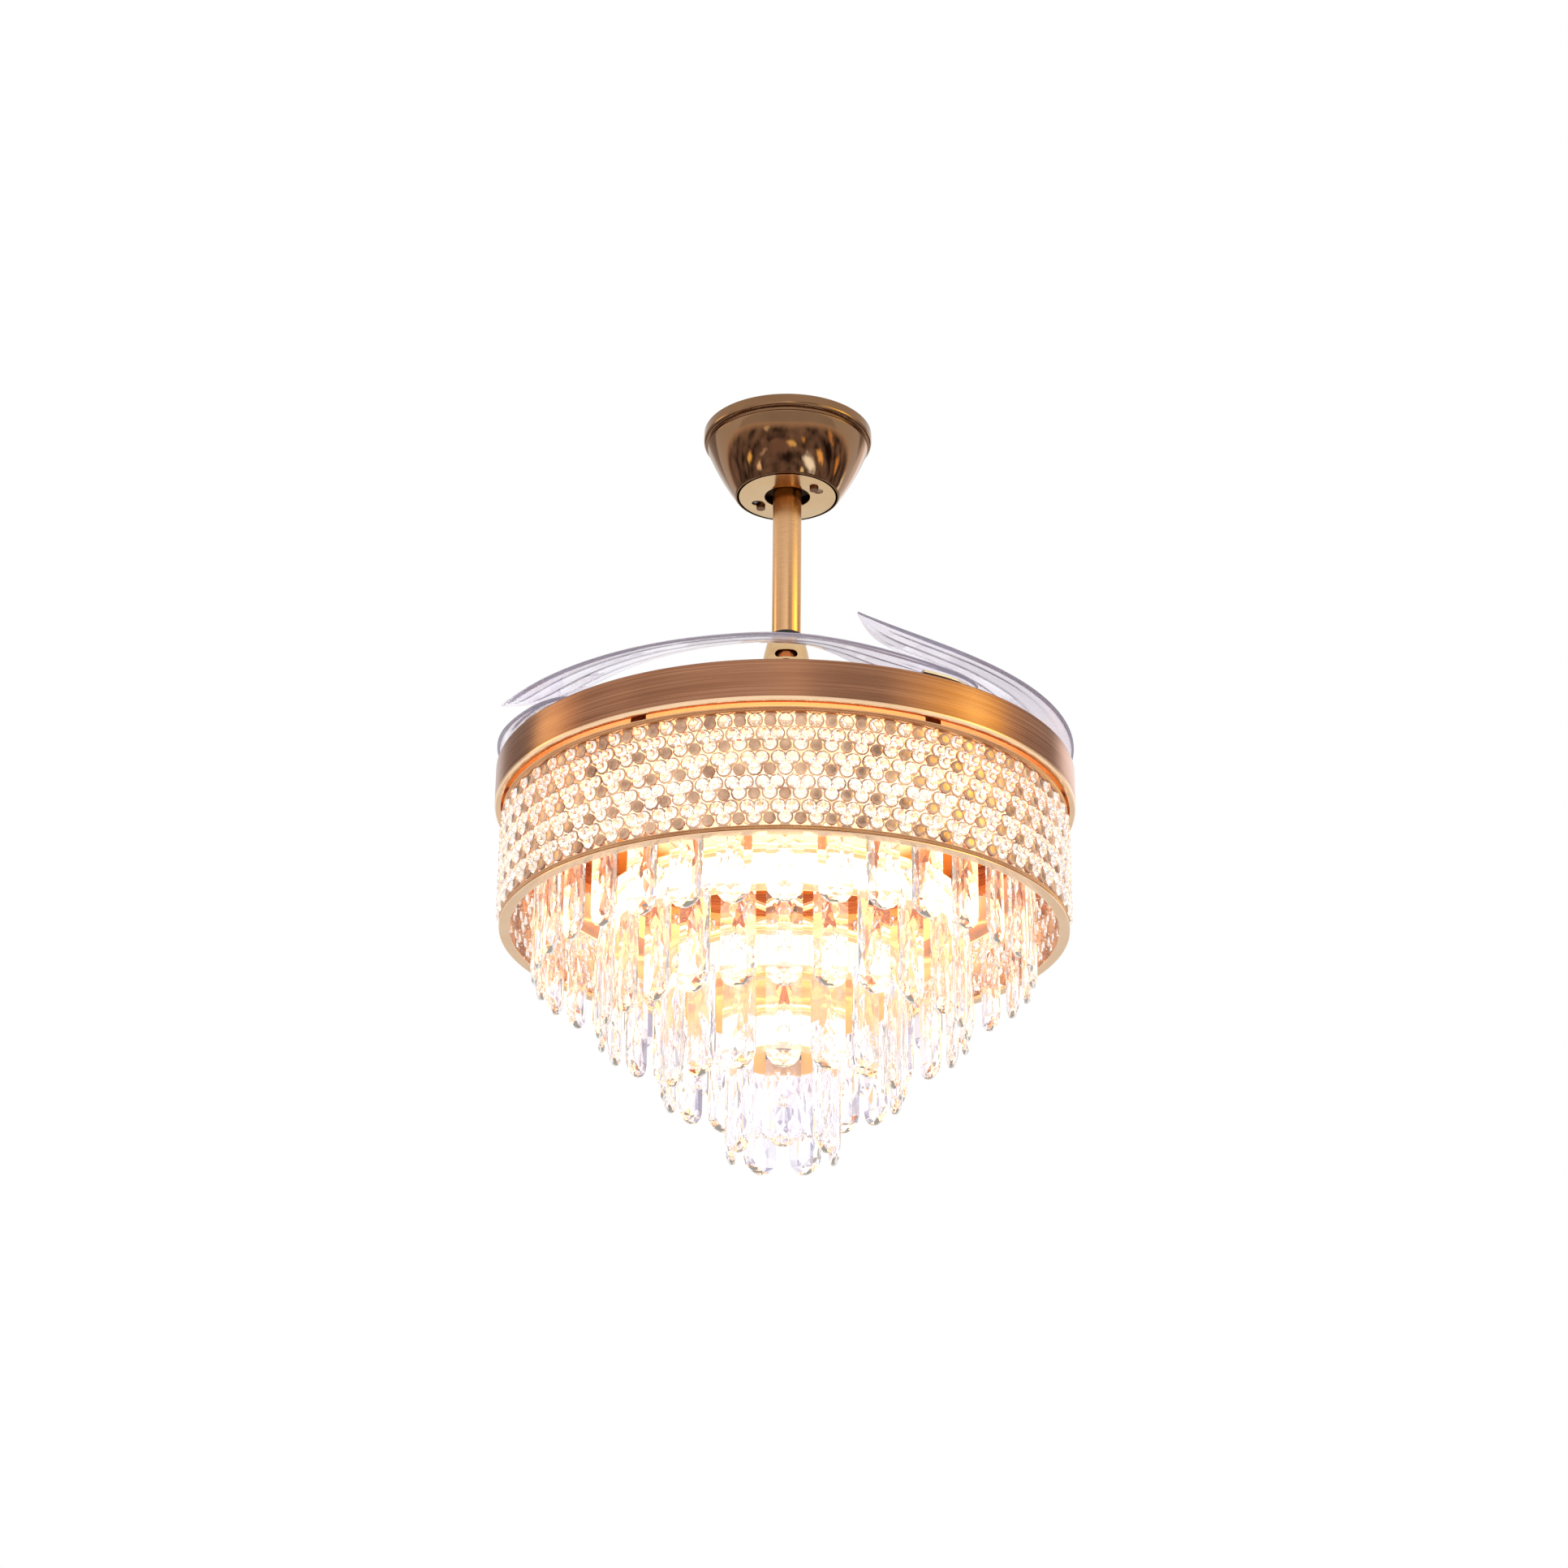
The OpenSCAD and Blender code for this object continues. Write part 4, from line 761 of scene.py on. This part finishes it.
# an upright link whose half width falls from both ends to a waist: waist + (end - waist) * share^2.2
def funnel(top, waist, foot, height, wall):
    level = np.linspace(0, 1, 6)
    half = waist + (top - waist) * level ** 2.2 + (foot - waist) * (1 - level) ** 2.2
    outline = np.concatenate([np.stack([half, 0 * level, level * height], -1),
                              np.stack([-half, 0 * level, level * height], -1)[::-1]])
    n = len(outline)
    strips = [[i, i + 1, n - 2 - i, n - 1 - i] for i in range(n // 2 - 1)]
    sides = [[i, i + n, (i + 1) % n + n, (i + 1) % n] for i in range(n)]
    points = np.concatenate([outline - [0, wall, 0], outline]) * mm
    return points, strips + [[v + n for v in f[::-1]] for f in strips] + sides


def latticeShape():
    d = drum
    button = disc(d["discR"], d["wall"] + d["discH"])
    beadZ = drumTop - d["beadDrop"] * mm
    placed = []
    for turn, z in zip(rowTurns, rowHeights):
        placed.append((trefoilWeb(), turn, z))
        placed.append((button, halfPitch - turn, z - d["discDrop"] * mm))
    placed.append((beadWeb(), 0, beadZ))
    placed.append((button, halfPitch, beadZ - 0.8 * mm))
    placed.append((funnel(5.6, 3.6, 4.6, 6.0, d["wall"]), halfPitch, beadZ))
    placed.append((funnel(2.2, 1.6, 5.2, 5.0, d["wall"]), 0, low("drum_lattice")))
    inside = (d["radius"] - d["wall"]) * mm
    return joined([copiesRound(shape, rowAngles + turn, inside, z) for shape, turn, z in placed])


# a cut bead: a raised middle, a ring of crown facets turned half a step, a girdle and a cone behind
def cutBead(radius, depth, sides=8, table=0.6):
    girdle = roundSteps(sides)
    crown = girdle + np.pi / sides
    rings = [np.stack([r * radius * np.cos(t), np.full(sides, y), r * radius * np.sin(t)], -1)
             for r, y, t in ((table, -0.84 * depth, crown), (1.0, -0.22 * depth, girdle))]
    points = np.concatenate([[(0, -depth, 0)], *rings, [(0, 0.22 * depth, 0)]])
    k = np.arange(sides)
    n = (k + 1) % sides
    c, g, back = 1 + k, 1 + sides + k, np.full(sides, 1 + 2 * sides)
    cN, gN = 1 + n, 1 + sides + n
    triangles = [(0 * k, cN, c), (c, cN, gN), (c, gN, g), (g, gN, back)]
    return points * mm, np.concatenate([np.stack(t, -1) for t in triangles]).tolist()


def trefoilGlass():
    lobe = cutBead(drum["beadR"] - 0.05, drum["glassDepth"])
    return joined([shifted(lobe, x, z) for x, z in lobes])


makePiece("drum_webs", latticeShape(), looks["lattice"], "fixture", ["drum_lattice"], 50)
skin = drum["radius"] * mm
trefoils = joined([copiesRound(trefoilGlass(), rowAngles + turn, skin, z) for turn, z in zip(rowTurns, rowHeights)])
beads = copiesRound(cutBead(drum["beadR"], drum["glassDepth"]), rowAngles, skin, drumTop - drum["beadDrop"] * mm)
makePiece("drum_trefoils", trefoils, looks["bead"], "fixture", ["lattice_trefoils"], 0)
makePiece("drum_beads", beads, looks["bead"], "fixture", ["lattice_beads"], 0)
print("drum made")

tiers = {"counts": [33, 26, 17, 7], "radii": [210.0, 154.7, 99.4, 44.1], "hoopGap": 9.0, "wall": 1.2, "hoopH": 38.0,
         "stripIn": 6.0, "spokeW": 8.0, "hub": (10.1, 15.0), "hubH": 12.0, "pin": 6.0, "link": 6.8, "linkDepth": 7.0,
         "wireR": 0.6, "loopR": 1.7}


# a hoop with its shelf, its hub and four spokes
def hoopShape(k):
    t = tiers
    r, top = (t["radii"][k] - t["hoopGap"]) * mm, high(f"tier_frame_{k + 1}")
    w, shelf, foot = t["wall"] * mm, (t["radii"][k] + 3) * mm, top - t["hoopH"] * mm
    hoop = roundCorners([(r - w, foot), (r, foot), (r, top - w), (shelf, top - w), (shelf, top), (r - w, top)],
                        np.array([0.3, 0.3, 0.8, 0.4, 0.4, 0.4]) * mm, 4)
    inner, outer = t["hub"][0] * mm, t["hub"][1] * mm
    hub = plainRing(inner, outer, top - t["hubH"] * mm, top, 0.5 * mm, 4, 48)
    z = top - 4.5 * mm
    arms = [barBetween(roundZ(outer - 2 * mm, a, z), roundZ(r - 0.5 * w, a, z), t["spokeW"] * mm, 3 * mm, 0.5 * mm)
            for a in np.radians([45, 135, 225, 315])]
    return joined([turned(hoop, 256), hub] + arms)


def stripShape(k):
    r = (tiers["radii"][k] - tiers["hoopGap"] + 0.1) * mm
    top = high(f"tier_frame_{k + 1}")
    foot, top = top - (tiers["hoopH"] - tiers["stripIn"]) * mm, top - tiers["stripIn"] * mm
    return plainRing(r, r + 1.5 * mm, foot, top, 0.5 * mm, 4, 192)


for k in range(4):
    makePiece(f"tier_hoop_{k + 1}", hoopShape(k), looks["hoop"], "fixture", [f"tier_frame_{k + 1}"])
makePiece("lit_strips", joined([stripShape(k) for k in range(4)]), looks["strip"], "fixture",
          ["led_strips"])

crystal = {"length": 100.0, "width": 29.5, "top": 8.0, "shoulder": 9.0, "thick": 9.0, "edge": 1.3, "ridge": 0.44,
           "ridgeDepth": 0.70, "dip": 0.74, "sway": 0.10, "seed": 7}


# one face of a drop: five lines of points down it, edge - ridge - middle - ridge - edge. The middle steps between
# full depth and `dip` of it, and the ridges sit half a row lower, so the grid falls into tilted triangles.
def crystalFace(parity):
    c = crystal
    w = c["width"] / 2
    roundAt = w - c["length"]
    turn = np.radians([28, 55, 80])
    z = np.concatenate([[0, -c["shoulder"]], np.linspace(-26.0, roundAt, 4), roundAt - w * np.sin(turn)])
    half = np.concatenate([[c["top"]], np.full(5, w), w * np.cos(turn)])
    fade = np.concatenate([[0.35, 0.85], np.ones(4), [0.84, 0.58, 0.3]])
    rows = len(z)
    odd = (np.arange(rows) + parity) % 2
    depth = np.stack([np.full(rows, c["edge"] / 2), c["thick"] / 2 * c["ridgeDepth"] * fade,
                      c["thick"] / 2 * fade * np.where(odd == 1, c["dip"], 1.0)], -1)
    x = np.stack([-half, -half * c["ridge"], 0 * half, half * c["ridge"], half], -1)
    y = -np.maximum(depth[:, [0, 1, 2, 1, 0]], c["edge"] / 2)
    lower = np.concatenate([np.diff(z) / 2, [0]]) * (np.arange(rows) > 1) * (np.arange(rows) < 5)
    height = z[:, None] + lower[:, None] * [0, 1, 0, 1, 0]
    cells = gridFaces(rows, 5)
    first = (np.arange(rows - 1)[:, None] + np.arange(4)[None, :] + parity).ravel() % 2 == 0
    a, b, d, e = cells.T
    triangles = np.concatenate([np.stack([a, b, d], -1)[first], np.stack([a, d, e], -1)[first],
                                np.stack([a, b, e], -1)[~first], np.stack([b, d, e], -1)[~first]])
    return np.stack([x, y, height], -1).reshape(-1, 3), triangles, rows


def crystalShape():
    front, faces, rows = crystalFace(0)
    back, backFaces, _ = crystalFace(1)
    n = len(front)
    rim = np.concatenate([np.arange(rows) * 5, (rows - 1) * 5 + np.arange(1, 5), np.arange(rows - 2, -1, -1) * 5 + 4,
                          np.arange(3, 0, -1)])
    ahead = np.roll(rim, -1)
    sides = np.stack([rim, ahead, ahead + n, rim + n], -1)
    points = np.concatenate([front, back * [1, -1, 1]]) * mm
    return points, faces[:, ::-1].tolist() + (backFaces + n).tolist() + sides.tolist()


# drops hang a little turned on their wires, by seeded random angles, every second one back to front
def crystalRing(k):
    points, faces = crystalShape()
    count = tiers["counts"][k]
    turn = np.random.default_rng(crystal["seed"] + k).uniform(-1, 1, count) * crystal["sway"]
    x, y, z = points.T
    localX, localY = turnedRows(x, y, turn + np.pi * (np.arange(count) % 2))
    height = np.broadcast_to(z + high(f"crystals_tier_{k + 1}"), localX.shape)
    x, y = turnedRows(localX, localY - tiers["radii"][k] * mm, fullTurn * np.arange(count) / count)
    placed = np.stack([x, y, height], -1)
    return placed.reshape(-1, 3), repeatFaces(faces, len(points), count)


for k in range(4):
    makePiece(f"crystal_drops_{k + 1}", crystalRing(k), looks["crystal"], "fixture",
              [f"crystals_tier_{k + 1}"], 0)


# an eight-sided bead cut on both faces, and the wire loops above and below it
def linkShapes():
    t = tiers
    flat = t["link"] * np.cos(np.pi / 8) * mm
    half, faces = cutBead(t["link"], t["linkDepth"] / 2, 8, 0.55)
    half = half[:-1]
    shell = [f for f in faces if max(f) < len(half)]
    n = len(half)
    mirrored = half * [1, -1, 1]
    ring = np.arange(9, 17)
    seam = [[int(a), int(b), int(b) + n, int(a) + n] for a, b in zip(ring, np.roll(ring, -1))]
    bead = np.concatenate([half, mirrored]), shell + [[v + n for v in f[::-1]] for f in shell] + seam
    a = roundSteps(12)
    loop = wire(np.stack([0 * a, t["loopR"] * np.cos(a), t["loopR"] * np.sin(a)], -1) * mm, 0.45 * mm, 6, True)
    post = wire(np.array([(0, 0, 0.0), (0, 0, -2.2), (0, 0, -t["pin"])]) * mm, t["wireR"] * mm, 6)
    stub = wire(np.array([(0, 0, 0.4), (0, 0, 1.4), (0, 0, 3.2)]) * mm, t["wireR"] * mm, 6)
    beadCopies, wires = [], []
    for k in range(4):
        azimuth = fullTurn * np.arange(t["counts"][k]) / t["counts"][k]
        radius, top = t["radii"][k] * mm, high(f"tier_frame_{k + 1}") - t["wall"] * mm
        drop = high(f"crystals_tier_{k + 1}")
        beadCopies.append(copiesRound(bead, azimuth, radius, top - t["pin"] * mm - flat))
        wires += [copiesRound(post, azimuth, radius, top), copiesRound(loop, azimuth, radius, top - 2.6 * mm),
                  copiesRound(stub, azimuth, radius, drop), copiesRound(loop, azimuth, radius, drop + 0.6 * mm)]
    return joined(beadCopies), joined(wires)


linkBeads, linkWires = linkShapes()
makePiece("link_octagons", linkBeads, looks["crystal"], "fixture", ["link_beads"], 0)
makePiece("link_wires", linkWires, looks["hoop"], "fixture", ["link_pins"])
print("tiers made")

blade = {"radius": 250.0, "tip": -77.0, "span": 119.0, "width": 74.0, "narrowing": 22.0, "thick": 3.0, "pitch": 19.0,
         "rise": 15.0, "lift": 22.0, "camber": 1.6, "dipStart": 72.0, "dipEnd": 2.0, "fade": 16.0, "flutes": 4.0,
         "fluteDepth": 0.5, "lengthSteps": 110, "acrossSteps": 60}


def eased(x):
    c = np.clip(x, 0, 1)
    return c * c * (3 - 2 * c)


# d: degrees behind the tip; t: share from the outer edge to the inner. The height is the outer edge's, plus width
# times tan(tilt) times t, less a camber; the flutes are grooves across it that drift along the blade.
def bladeSheet(turn):
    b = blade
    along = 0.3 + (b["span"] - 0.3) * np.linspace(0, 1, b["lengthSteps"]) ** 1.3
    share = np.linspace(0, 1, b["acrossSteps"])
    d, t = along[:, None], share[None, :]
    widthAt = b["width"] * (1 - np.exp(-d / 9)) - b["narrowing"] * d / b["span"]
    x = np.maximum(0, (d - b["span"] + 10) / 10)
    rootRound = 20 * (1 - np.sqrt(1 - 0.96 * x * x))
    outer, inner = b["radius"] - rootRound, b["radius"] - widthAt + rootRound
    dip = eased((d - b["dipStart"]) / (b["span"] - b["dipStart"] - b["dipEnd"]))
    edgeZ = low("blade_1") / mm + b["rise"] * (1 - dip) + b["lift"] * np.exp(-d / b["fade"])
    tilt = b["pitch"] * (1 - np.exp(-d / 12)) * (1 - eased((d - b["span"] + 39) / 30))
    bottom = edgeZ + widthAt * np.tan(np.radians(tilt)) * t - b["camber"] * np.sin(np.pi * t) * eased(tilt / 10)
    fadeIn = eased(d / 14) * eased((b["span"] - d) / 16) * np.sin(np.pi * t) ** 0.5
    wave = 0.5 + 0.5 * np.sin(fullTurn * (b["flutes"] * t ** 0.8 + d / 160))
    flute = -b["fluteDepth"] * fadeIn * wave ** 2
    half = b["thick"] / 2 * np.sqrt(1 - (2 * t - 1) ** 8) * (0.72 + 0.28 * eased(d / 5))
    middle = bottom + b["thick"] / 2
    radius, angle = outer + (inner - outer) * t, np.radians(b["tip"] + d + turn)
    upper = roundZ(radius, angle, middle + half + flute)
    lower = roundZ(radius, angle, middle - half + flute * 0.3)
    loop = np.concatenate([upper, lower[:, -2:0:-1]], 1)
    rows, columns = loop.shape[:2]
    n = len(share)
    caps = [[0, 1, columns - 1], [n - 2, n - 1, n]]
    caps += [[j, j + 1, columns - 1 - j, columns - j] for j in range(1, n - 2)]
    lastRow = (rows - 1) * columns
    faces = gridFaces(rows, columns, False, True).tolist()
    faces += [f[::-1] for f in caps] + [[v + lastRow for v in f] for f in caps]
    return loop.reshape(-1, 3) * mm, faces


for k in range(4):
    makePiece(f"blade_sheet_{k + 1}", bladeSheet(90 * k), looks["blade"], f"blade_{k + 1}",
              [f"blade_{k + 1}"], 50)
print("blades made")

# Parts that keep their construction shape get their finish here, by look.
kept = {
    "steel": ["hanger_bracket", "hanger_ball", "ball_pin", "motor_shaft", "shaft_nut", "rotor_bearings",
              "rotor_screws", "pivot_studs", "return_springs"],
    "copper": ["coupling_yoke", "yoke_pin"], "screw": ["canopy_screws"], "bell": ["coupling_cover"],
    "iron": ["stator_core", "magnet_ring"], "coil": ["stator_coils"], "pan": ["driver_pan"],
    "carrier": ["drum_hangers", "blade_carrier", "gear_retainer"], "trim": ["light_stem", "stem_nut"],
    "cast": ["rotor_upper_shell", "rotor_lower_shell"], "arm": [f"blade_arm_{k + 1}" for k in range(4)],
    "nylon": ["ball_seat_ring", "sync_gear"], "ivory": ["terminal_block"], "white": ["led_driver", "receiver_box"]}
for look, names in kept.items():
    for name in names:
        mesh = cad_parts[name].data
        mesh.materials.clear()
        mesh.materials.append(looks[look])
print("carried-over parts finished:", sum(len(names) for names in kept.values()))

# The studio: pale floor, white surroundings, soft lamps, and two surrounds that only polished metal mirrors.
studio = {"floorDrop": 2.3, "floorSize": 14.0, "floor": "#EFEDEA", "floorPatch": "#E9E7E4", "skyLight": 0.85,
          "lamps": [("key", (-38, 24), 2.4, (1.5, 1.5), 20, "#FFFFFF"),
                    ("fill", (50, 28), 2.6, (1.2, 1.2), 12, "#FFF2E0")],
          "aimZ": -0.4, "glow": {"z": -0.487, "size": 0.44, "power": 2.4, "colour": "#FFF2E0"},
          # what clear pieces show away from the line of sight, by the value of a slow noise
          "glassSky": [(0.30, "#767290"), (0.40, "#B7B1CB"), (0.46, "#F2EFF7"), (0.56, "#FFFFFF"), (0.62, "#FFE9C0"),
                       (0.70, "#F0B868")],
          "glassPatch": 4.6, "aheadFrom": 0.9703, "aheadRate": 57.0,
          "wallRadius": 3.0, "wallFoot": 0.3, "wallTop": 2.6, "wallStrongest": 6.0, "plainFrom": 1.0,
          "plain": ("#F6F0EA", 0.95), "calmBelow": 0.8, "calm": ("#EADED4", 0.9), "calmShare": 0.5,
          # azimuth, colour and strength of what the metal mirrors
          "wall": [(-180, "#FFFFFF", 1.0), (-150, "#FFFFFF", 1.0), (-140, "#C8B0A4", 0.6), (-128, "#8A7468", 0.35),
                   (-114, "#8A7468", 0.35), (-107, "#FFE6A8", 3.0), (-99, "#FFE6A8", 3.6), (-90, "#FFD8A0", 2.0),
                   (-82, "#FFE0C8", 0.6), (-72, "#F4E4DC", 0.75), (-64, "#FFF0E6", 0.95), (-54, "#F4E8E0", 0.6),
                   (-30, "#FFF6F0", 1.05), (-8, "#FFFFFF", 1.3), (4, "#FFF6E8", 1.8), (12, "#D8CCC4", 0.8),
                   (22, "#B8A8A4", 0.32), (36, "#B8A8A4", 0.34), (46, "#FFE49A", 1.6), (56, "#FFE060", 2.8),
                   (66, "#FFDE40", 4.0), (75, "#FFF080", 6.0), (84, "#FFDE48", 4.0), (94, "#FFD890", 1.2),
                   (104, "#F0C8A0", 0.4), (126, "#D8B8A8", 0.22), (138, "#FFF4F0", 1.9), (180, "#FFFFFF", 1.2)],
          # a dim room below the horizon; its upper edge lies at edge - sway * cos(waves * azimuth) degrees
          "dusk": {"radius": 2.6, "centreZ": -0.05, "halfWidth": 150, "lowest": -58, "edge": -9.0, "sway": 8.5,
                   "waves": 1.3, "flatten": 5.0, "wobbleSize": 2.2, "wobble": (24.0, -4.0), "roomSize": 1.5,
                   "contrast": 3.2, "patchRate": 2.2, "clearance": 0.14, "soft": 3.0, "rim": ("#FFE8D6", 1.25),
                   "strongest": 5.0, "dark": ("#3A3032", 1.0), "mid": ("#C0AEA8", 1.0),
                   # azimuth, elevation, half width and half height in degrees, colour, strength
                   "patches": [(-15, -28, 26, 4.0, "#B8A09C", 1.0), (1, -33, 12, 3.0, "#3A3032", 1.0),
                               (73, -18, 14, 3.0, "#2E2628", 1.0), (-70, -21, 7, 1.7, "#FFE696", 2.6),
                               (7, -27, 8, 1.6, "#FFE8A4", 2.4), (28, -24, 5, 1.5, "#FFD48A", 1.6),
                               (62, -24, 11, 2.2, "#FFD98C", 2.6), (96, -13, 7, 2.2, "#FFC070", 1.8),
                               (67, -13, 7, 1.4, "#FFC880", 1.6), (-32, -18, 6, 1.1, "#FFF2D8", 1.8),
                               (45, -31, 19, 3.4, "#D8F0FF", 4.6), (33, -37, 8, 1.8, "#F4F0C8", 3.2),
                               (-58, -29, 6, 2.0, "#F4ECD8", 3.0), (-45, -26, 9, 1.2, "#E8D8D4", 1.8),
                               (128, -4, 7, 4.0, "#F0FFF0", 2.6)]}}


def addFloor():
    s, z = studio["floorSize"], -studio["floorDrop"]
    look = Look("paleFloor").plain(Roughness=0.8)
    look.feed("Base Color", look.blend(look.group(smears, Size=1.5), studio["floor"], studio["floorPatch"]))
    corners = [(-s, -s, z), (s, -s, z), (s, s, z), (-s, s, z)]
    addMesh("floor", corners, [(0, 1, 2, 3)], look.material)


def areaLamp(name, shape, size, power, colour):
    data = bpy.data.lights.new(name, "AREA")
    data.shape = shape
    data.size, data.size_y = size
    data.energy = power
    data.color = linear(colour)[:3]
    return addObject(name, data)


# a lamp faces the object from (sin a cos e, -cos a cos e, sin e) times its distance
def addLamp(name, direction, distance, size, power, colour):
    lamp = areaLamp(name, "RECTANGLE", size, power, colour)
    azimuth, elevation = np.radians(direction)
    out = Vector((np.sin(azimuth) * np.cos(elevation), -np.cos(azimuth) * np.cos(elevation), np.sin(elevation)))
    spot = Vector((0, 0, studio["aimZ"])) + out * distance
    lamp.matrix_world = Matrix.Translation(spot) @ out.to_track_quat("Z", "Y").to_matrix().to_4x4()
    lamp.visible_camera = lamp.visible_glossy = False


# light that the crystals throw back up into the drum
def addGlow():
    g = studio["glow"]
    glow = areaLamp("drumGlow", "DISK", (g["size"], g["size"]), g["power"], g["colour"])
    glow.matrix_world = Matrix.Translation((0, 0, g["z"])) @ Matrix.Rotation(np.pi, 4, "X")
    glow.visible_camera = glow.visible_transmission = False


def addMirrored(name, points, faces, colourSocket, strongest):
    look = Look(name).plain(Roughness=1.0, Base_Color=(0, 0, 0, 1), Specular_IOR_Level=0.0,
                            Emission_Strength=strongest)
    look.feed("Emission Color", colourSocket(look))
    surround = addMesh(name, points.tolist(), faces, look.material)
    surround.visible_camera = surround.visible_diffuse = surround.visible_shadow = False
    surround.visible_transmission = False


# azimuth atan2(x, -y) and elevation atan2(z - centreZ, sqrt(x^2 + y^2)), in degrees
def polarPlace(tree, axes, centreZ):
    x, y, z = axes
    azimuth = calc(tree, "ARCTAN2", x, calc(tree, "MULTIPLY", y, -1.0))
    elevation = calc(tree, "ARCTAN2", calc(tree, "SUBTRACT", z, centreZ), flatLength(tree, x, y))
    return [calc(tree, "MULTIPLY", angle, np.degrees(1)) for angle in (azimuth, elevation)]


# colours round the horizon, calmer lower down, giving way to plain light higher up
def wallColour(look):
    tree, strongest = look.tree, studio["wallStrongest"]
    axes = splitAxes(tree, look.place)
    azimuth, height = polarPlace(tree, axes, 0.0)[0], axes[2]
    stops = [(place / 360 + 0.5, lit(colour, strength, strongest)) for place, colour, strength in studio["wall"]]
    colour = ramp(tree, calc(tree, "MULTIPLY_ADD", azimuth, 1 / 360, 0.5), stops)
    below = rising(tree, height, studio["calmBelow"], -10.0)
    calmed = look.blend(calc(tree, "MULTIPLY", below, studio["calmShare"]), colour, lit(*studio["calm"], strongest))
    return look.blend(rising(tree, height, studio["plainFrom"], 5.0), calmed, lit(*studio["plain"], strongest))


# each patch is 1 inside an ellipse and falls to 0 at its edge: patchRate * (1 - sqrt((da / w)^2 + (de / h)^2)).
# The room's noise is flattened, because the bowl stretches it upright; its upper edge fades to a light rim.
# Only the canopy mirrors it: a ray that comes from lower down is shorter, and sees plain white.
def duskColour(look):
    d, tree = studio["dusk"], look.tree
    x, y, z = splitAxes(tree, look.place)
    azimuth, elevation = polarPlace(tree, (x, y, z), d["centreZ"])
    flat = joinAxes(tree, x, y, calc(tree, "MULTIPLY", z, d["flatten"]))
    swing = calc(tree, "COSINE", calc(tree, "MULTIPLY", azimuth, d["waves"] * np.pi / 180))
    edge = calc(tree, "ADD", calc(tree, "MULTIPLY", swing, -d["sway"]), d["edge"] - d["soft"])
    nearEdge = rising(tree, elevation, edge, 1 / d["soft"])
    wobble = calc(tree, "SUBTRACT", noise(tree, flat, d["wobbleSize"], 3.0), 0.5)
    azimuth, elevation = (calc(tree, "MULTIPLY_ADD", wobble, share, angle)
                          for share, angle in zip(d["wobble"], (azimuth, elevation)))
    base = contrasted(tree, noise(tree, flat, d["roomSize"], 4.0), d["contrast"])
    colour = look.blend(base, lit(*d["dark"], d["strongest"]), lit(*d["mid"], d["strongest"]))
    for a, e, width, height, code, strength in d["patches"]:
        across = calc(tree, "MULTIPLY", calc(tree, "SUBTRACT", azimuth, a), 1 / width)
        up = calc(tree, "MULTIPLY", calc(tree, "SUBTRACT", elevation, e), 1 / height)
        mask = rising(tree, flatLength(tree, across, up), 1.0, -d["patchRate"])
        colour = look.blend(mask, colour, lit(code, strength, d["strongest"]))
    colour = look.blend(nearEdge, colour, lit(*d["rim"], d["strongest"]))
    length = tree.nodes.new("ShaderNodeLightPath").outputs["Ray Length"]
    fromCanopy = rising(tree, length, d["radius"] - d["clearance"], 25.0)
    return look.blend(fromCanopy, lit("#FFFFFF", 1.0, d["strongest"]), colour)


def addSurrounds():
    wallAngle = np.radians(np.linspace(-180, 180, 97))[:-1, None]
    level = np.array([[studio["wallFoot"], studio["wallTop"]]])
    addMirrored("wallSurround", roundZ(studio["wallRadius"], wallAngle, level).reshape(-1, 3),
                gridFaces(96, 2, True).tolist(), wallColour, studio["wallStrongest"])
    d = studio["dusk"]
    angle = np.linspace(-d["halfWidth"], d["halfWidth"], 61)
    edge = d["edge"] - d["sway"] * np.cos(np.radians(d["waves"] * angle))
    rise = np.radians(d["lowest"] + (edge[:, None] - d["lowest"]) * np.linspace(0, 1, 9)[None, :])
    points = roundZ(d["radius"] * np.cos(rise), np.radians(angle)[:, None], d["centreZ"] + d["radius"] * np.sin(rise))
    addMirrored("duskSurround", points.reshape(-1, 3), gridFaces(61, 9).tolist(), duskColour, d["strongest"])


# White for rays straight ahead and, away from them, the patches of studio["glassSky"]:
# straight ahead is where y cos(pitch) + z sin(pitch) of the ray's direction comes near 1.
def glassSky(tree):
    direction = tree.nodes.new("ShaderNodeTexCoord").outputs["Generated"]
    y, z = splitAxes(tree, direction)[1:]
    pitch = np.radians(view["pitch"])
    ahead = calc(tree, "ADD", calc(tree, "MULTIPLY", y, np.cos(pitch)), calc(tree, "MULTIPLY", z, np.sin(pitch)))
    stops = [(place, linear(colour)) for place, colour in studio["glassSky"]]
    patches = ramp(tree, noise(tree, direction, studio["glassPatch"], 2.0), stops)
    return blended(tree, rising(tree, ahead, studio["aheadFrom"], studio["aheadRate"]), patches, "#FFFFFF")


def addSky():
    world = bpy.data.worlds.new("surroundings")
    bpy.context.scene.world = world
    world.use_nodes = True
    tree = world.node_tree
    soft = tree.nodes["Background"]
    soft.inputs["Color"].default_value = (1, 1, 1, 1)
    soft.inputs["Strength"].default_value = studio["skyLight"]
    seen = tree.nodes.new("ShaderNodeBackground")
    rays = tree.nodes.new("ShaderNodeLightPath").outputs
    tree.links.new(blended(tree, rays["Is Transmission Ray"], "#FFFFFF", glassSky(tree)), seen.inputs["Color"])
    either = calc(tree, "MAXIMUM", rays["Is Camera Ray"], rays["Is Glossy Ray"])
    mask = calc(tree, "MAXIMUM", either, rays["Is Transmission Ray"])
    mixShaders(tree, mask, soft, seen, tree.nodes["World Output"].inputs["Surface"])


addFloor()
addSky()
addSurrounds()
addGlow()
for lamp in studio["lamps"]:
    addLamp(*lamp)
bpy.context.scene.view_settings.view_transform = "Standard"
print("studio made")
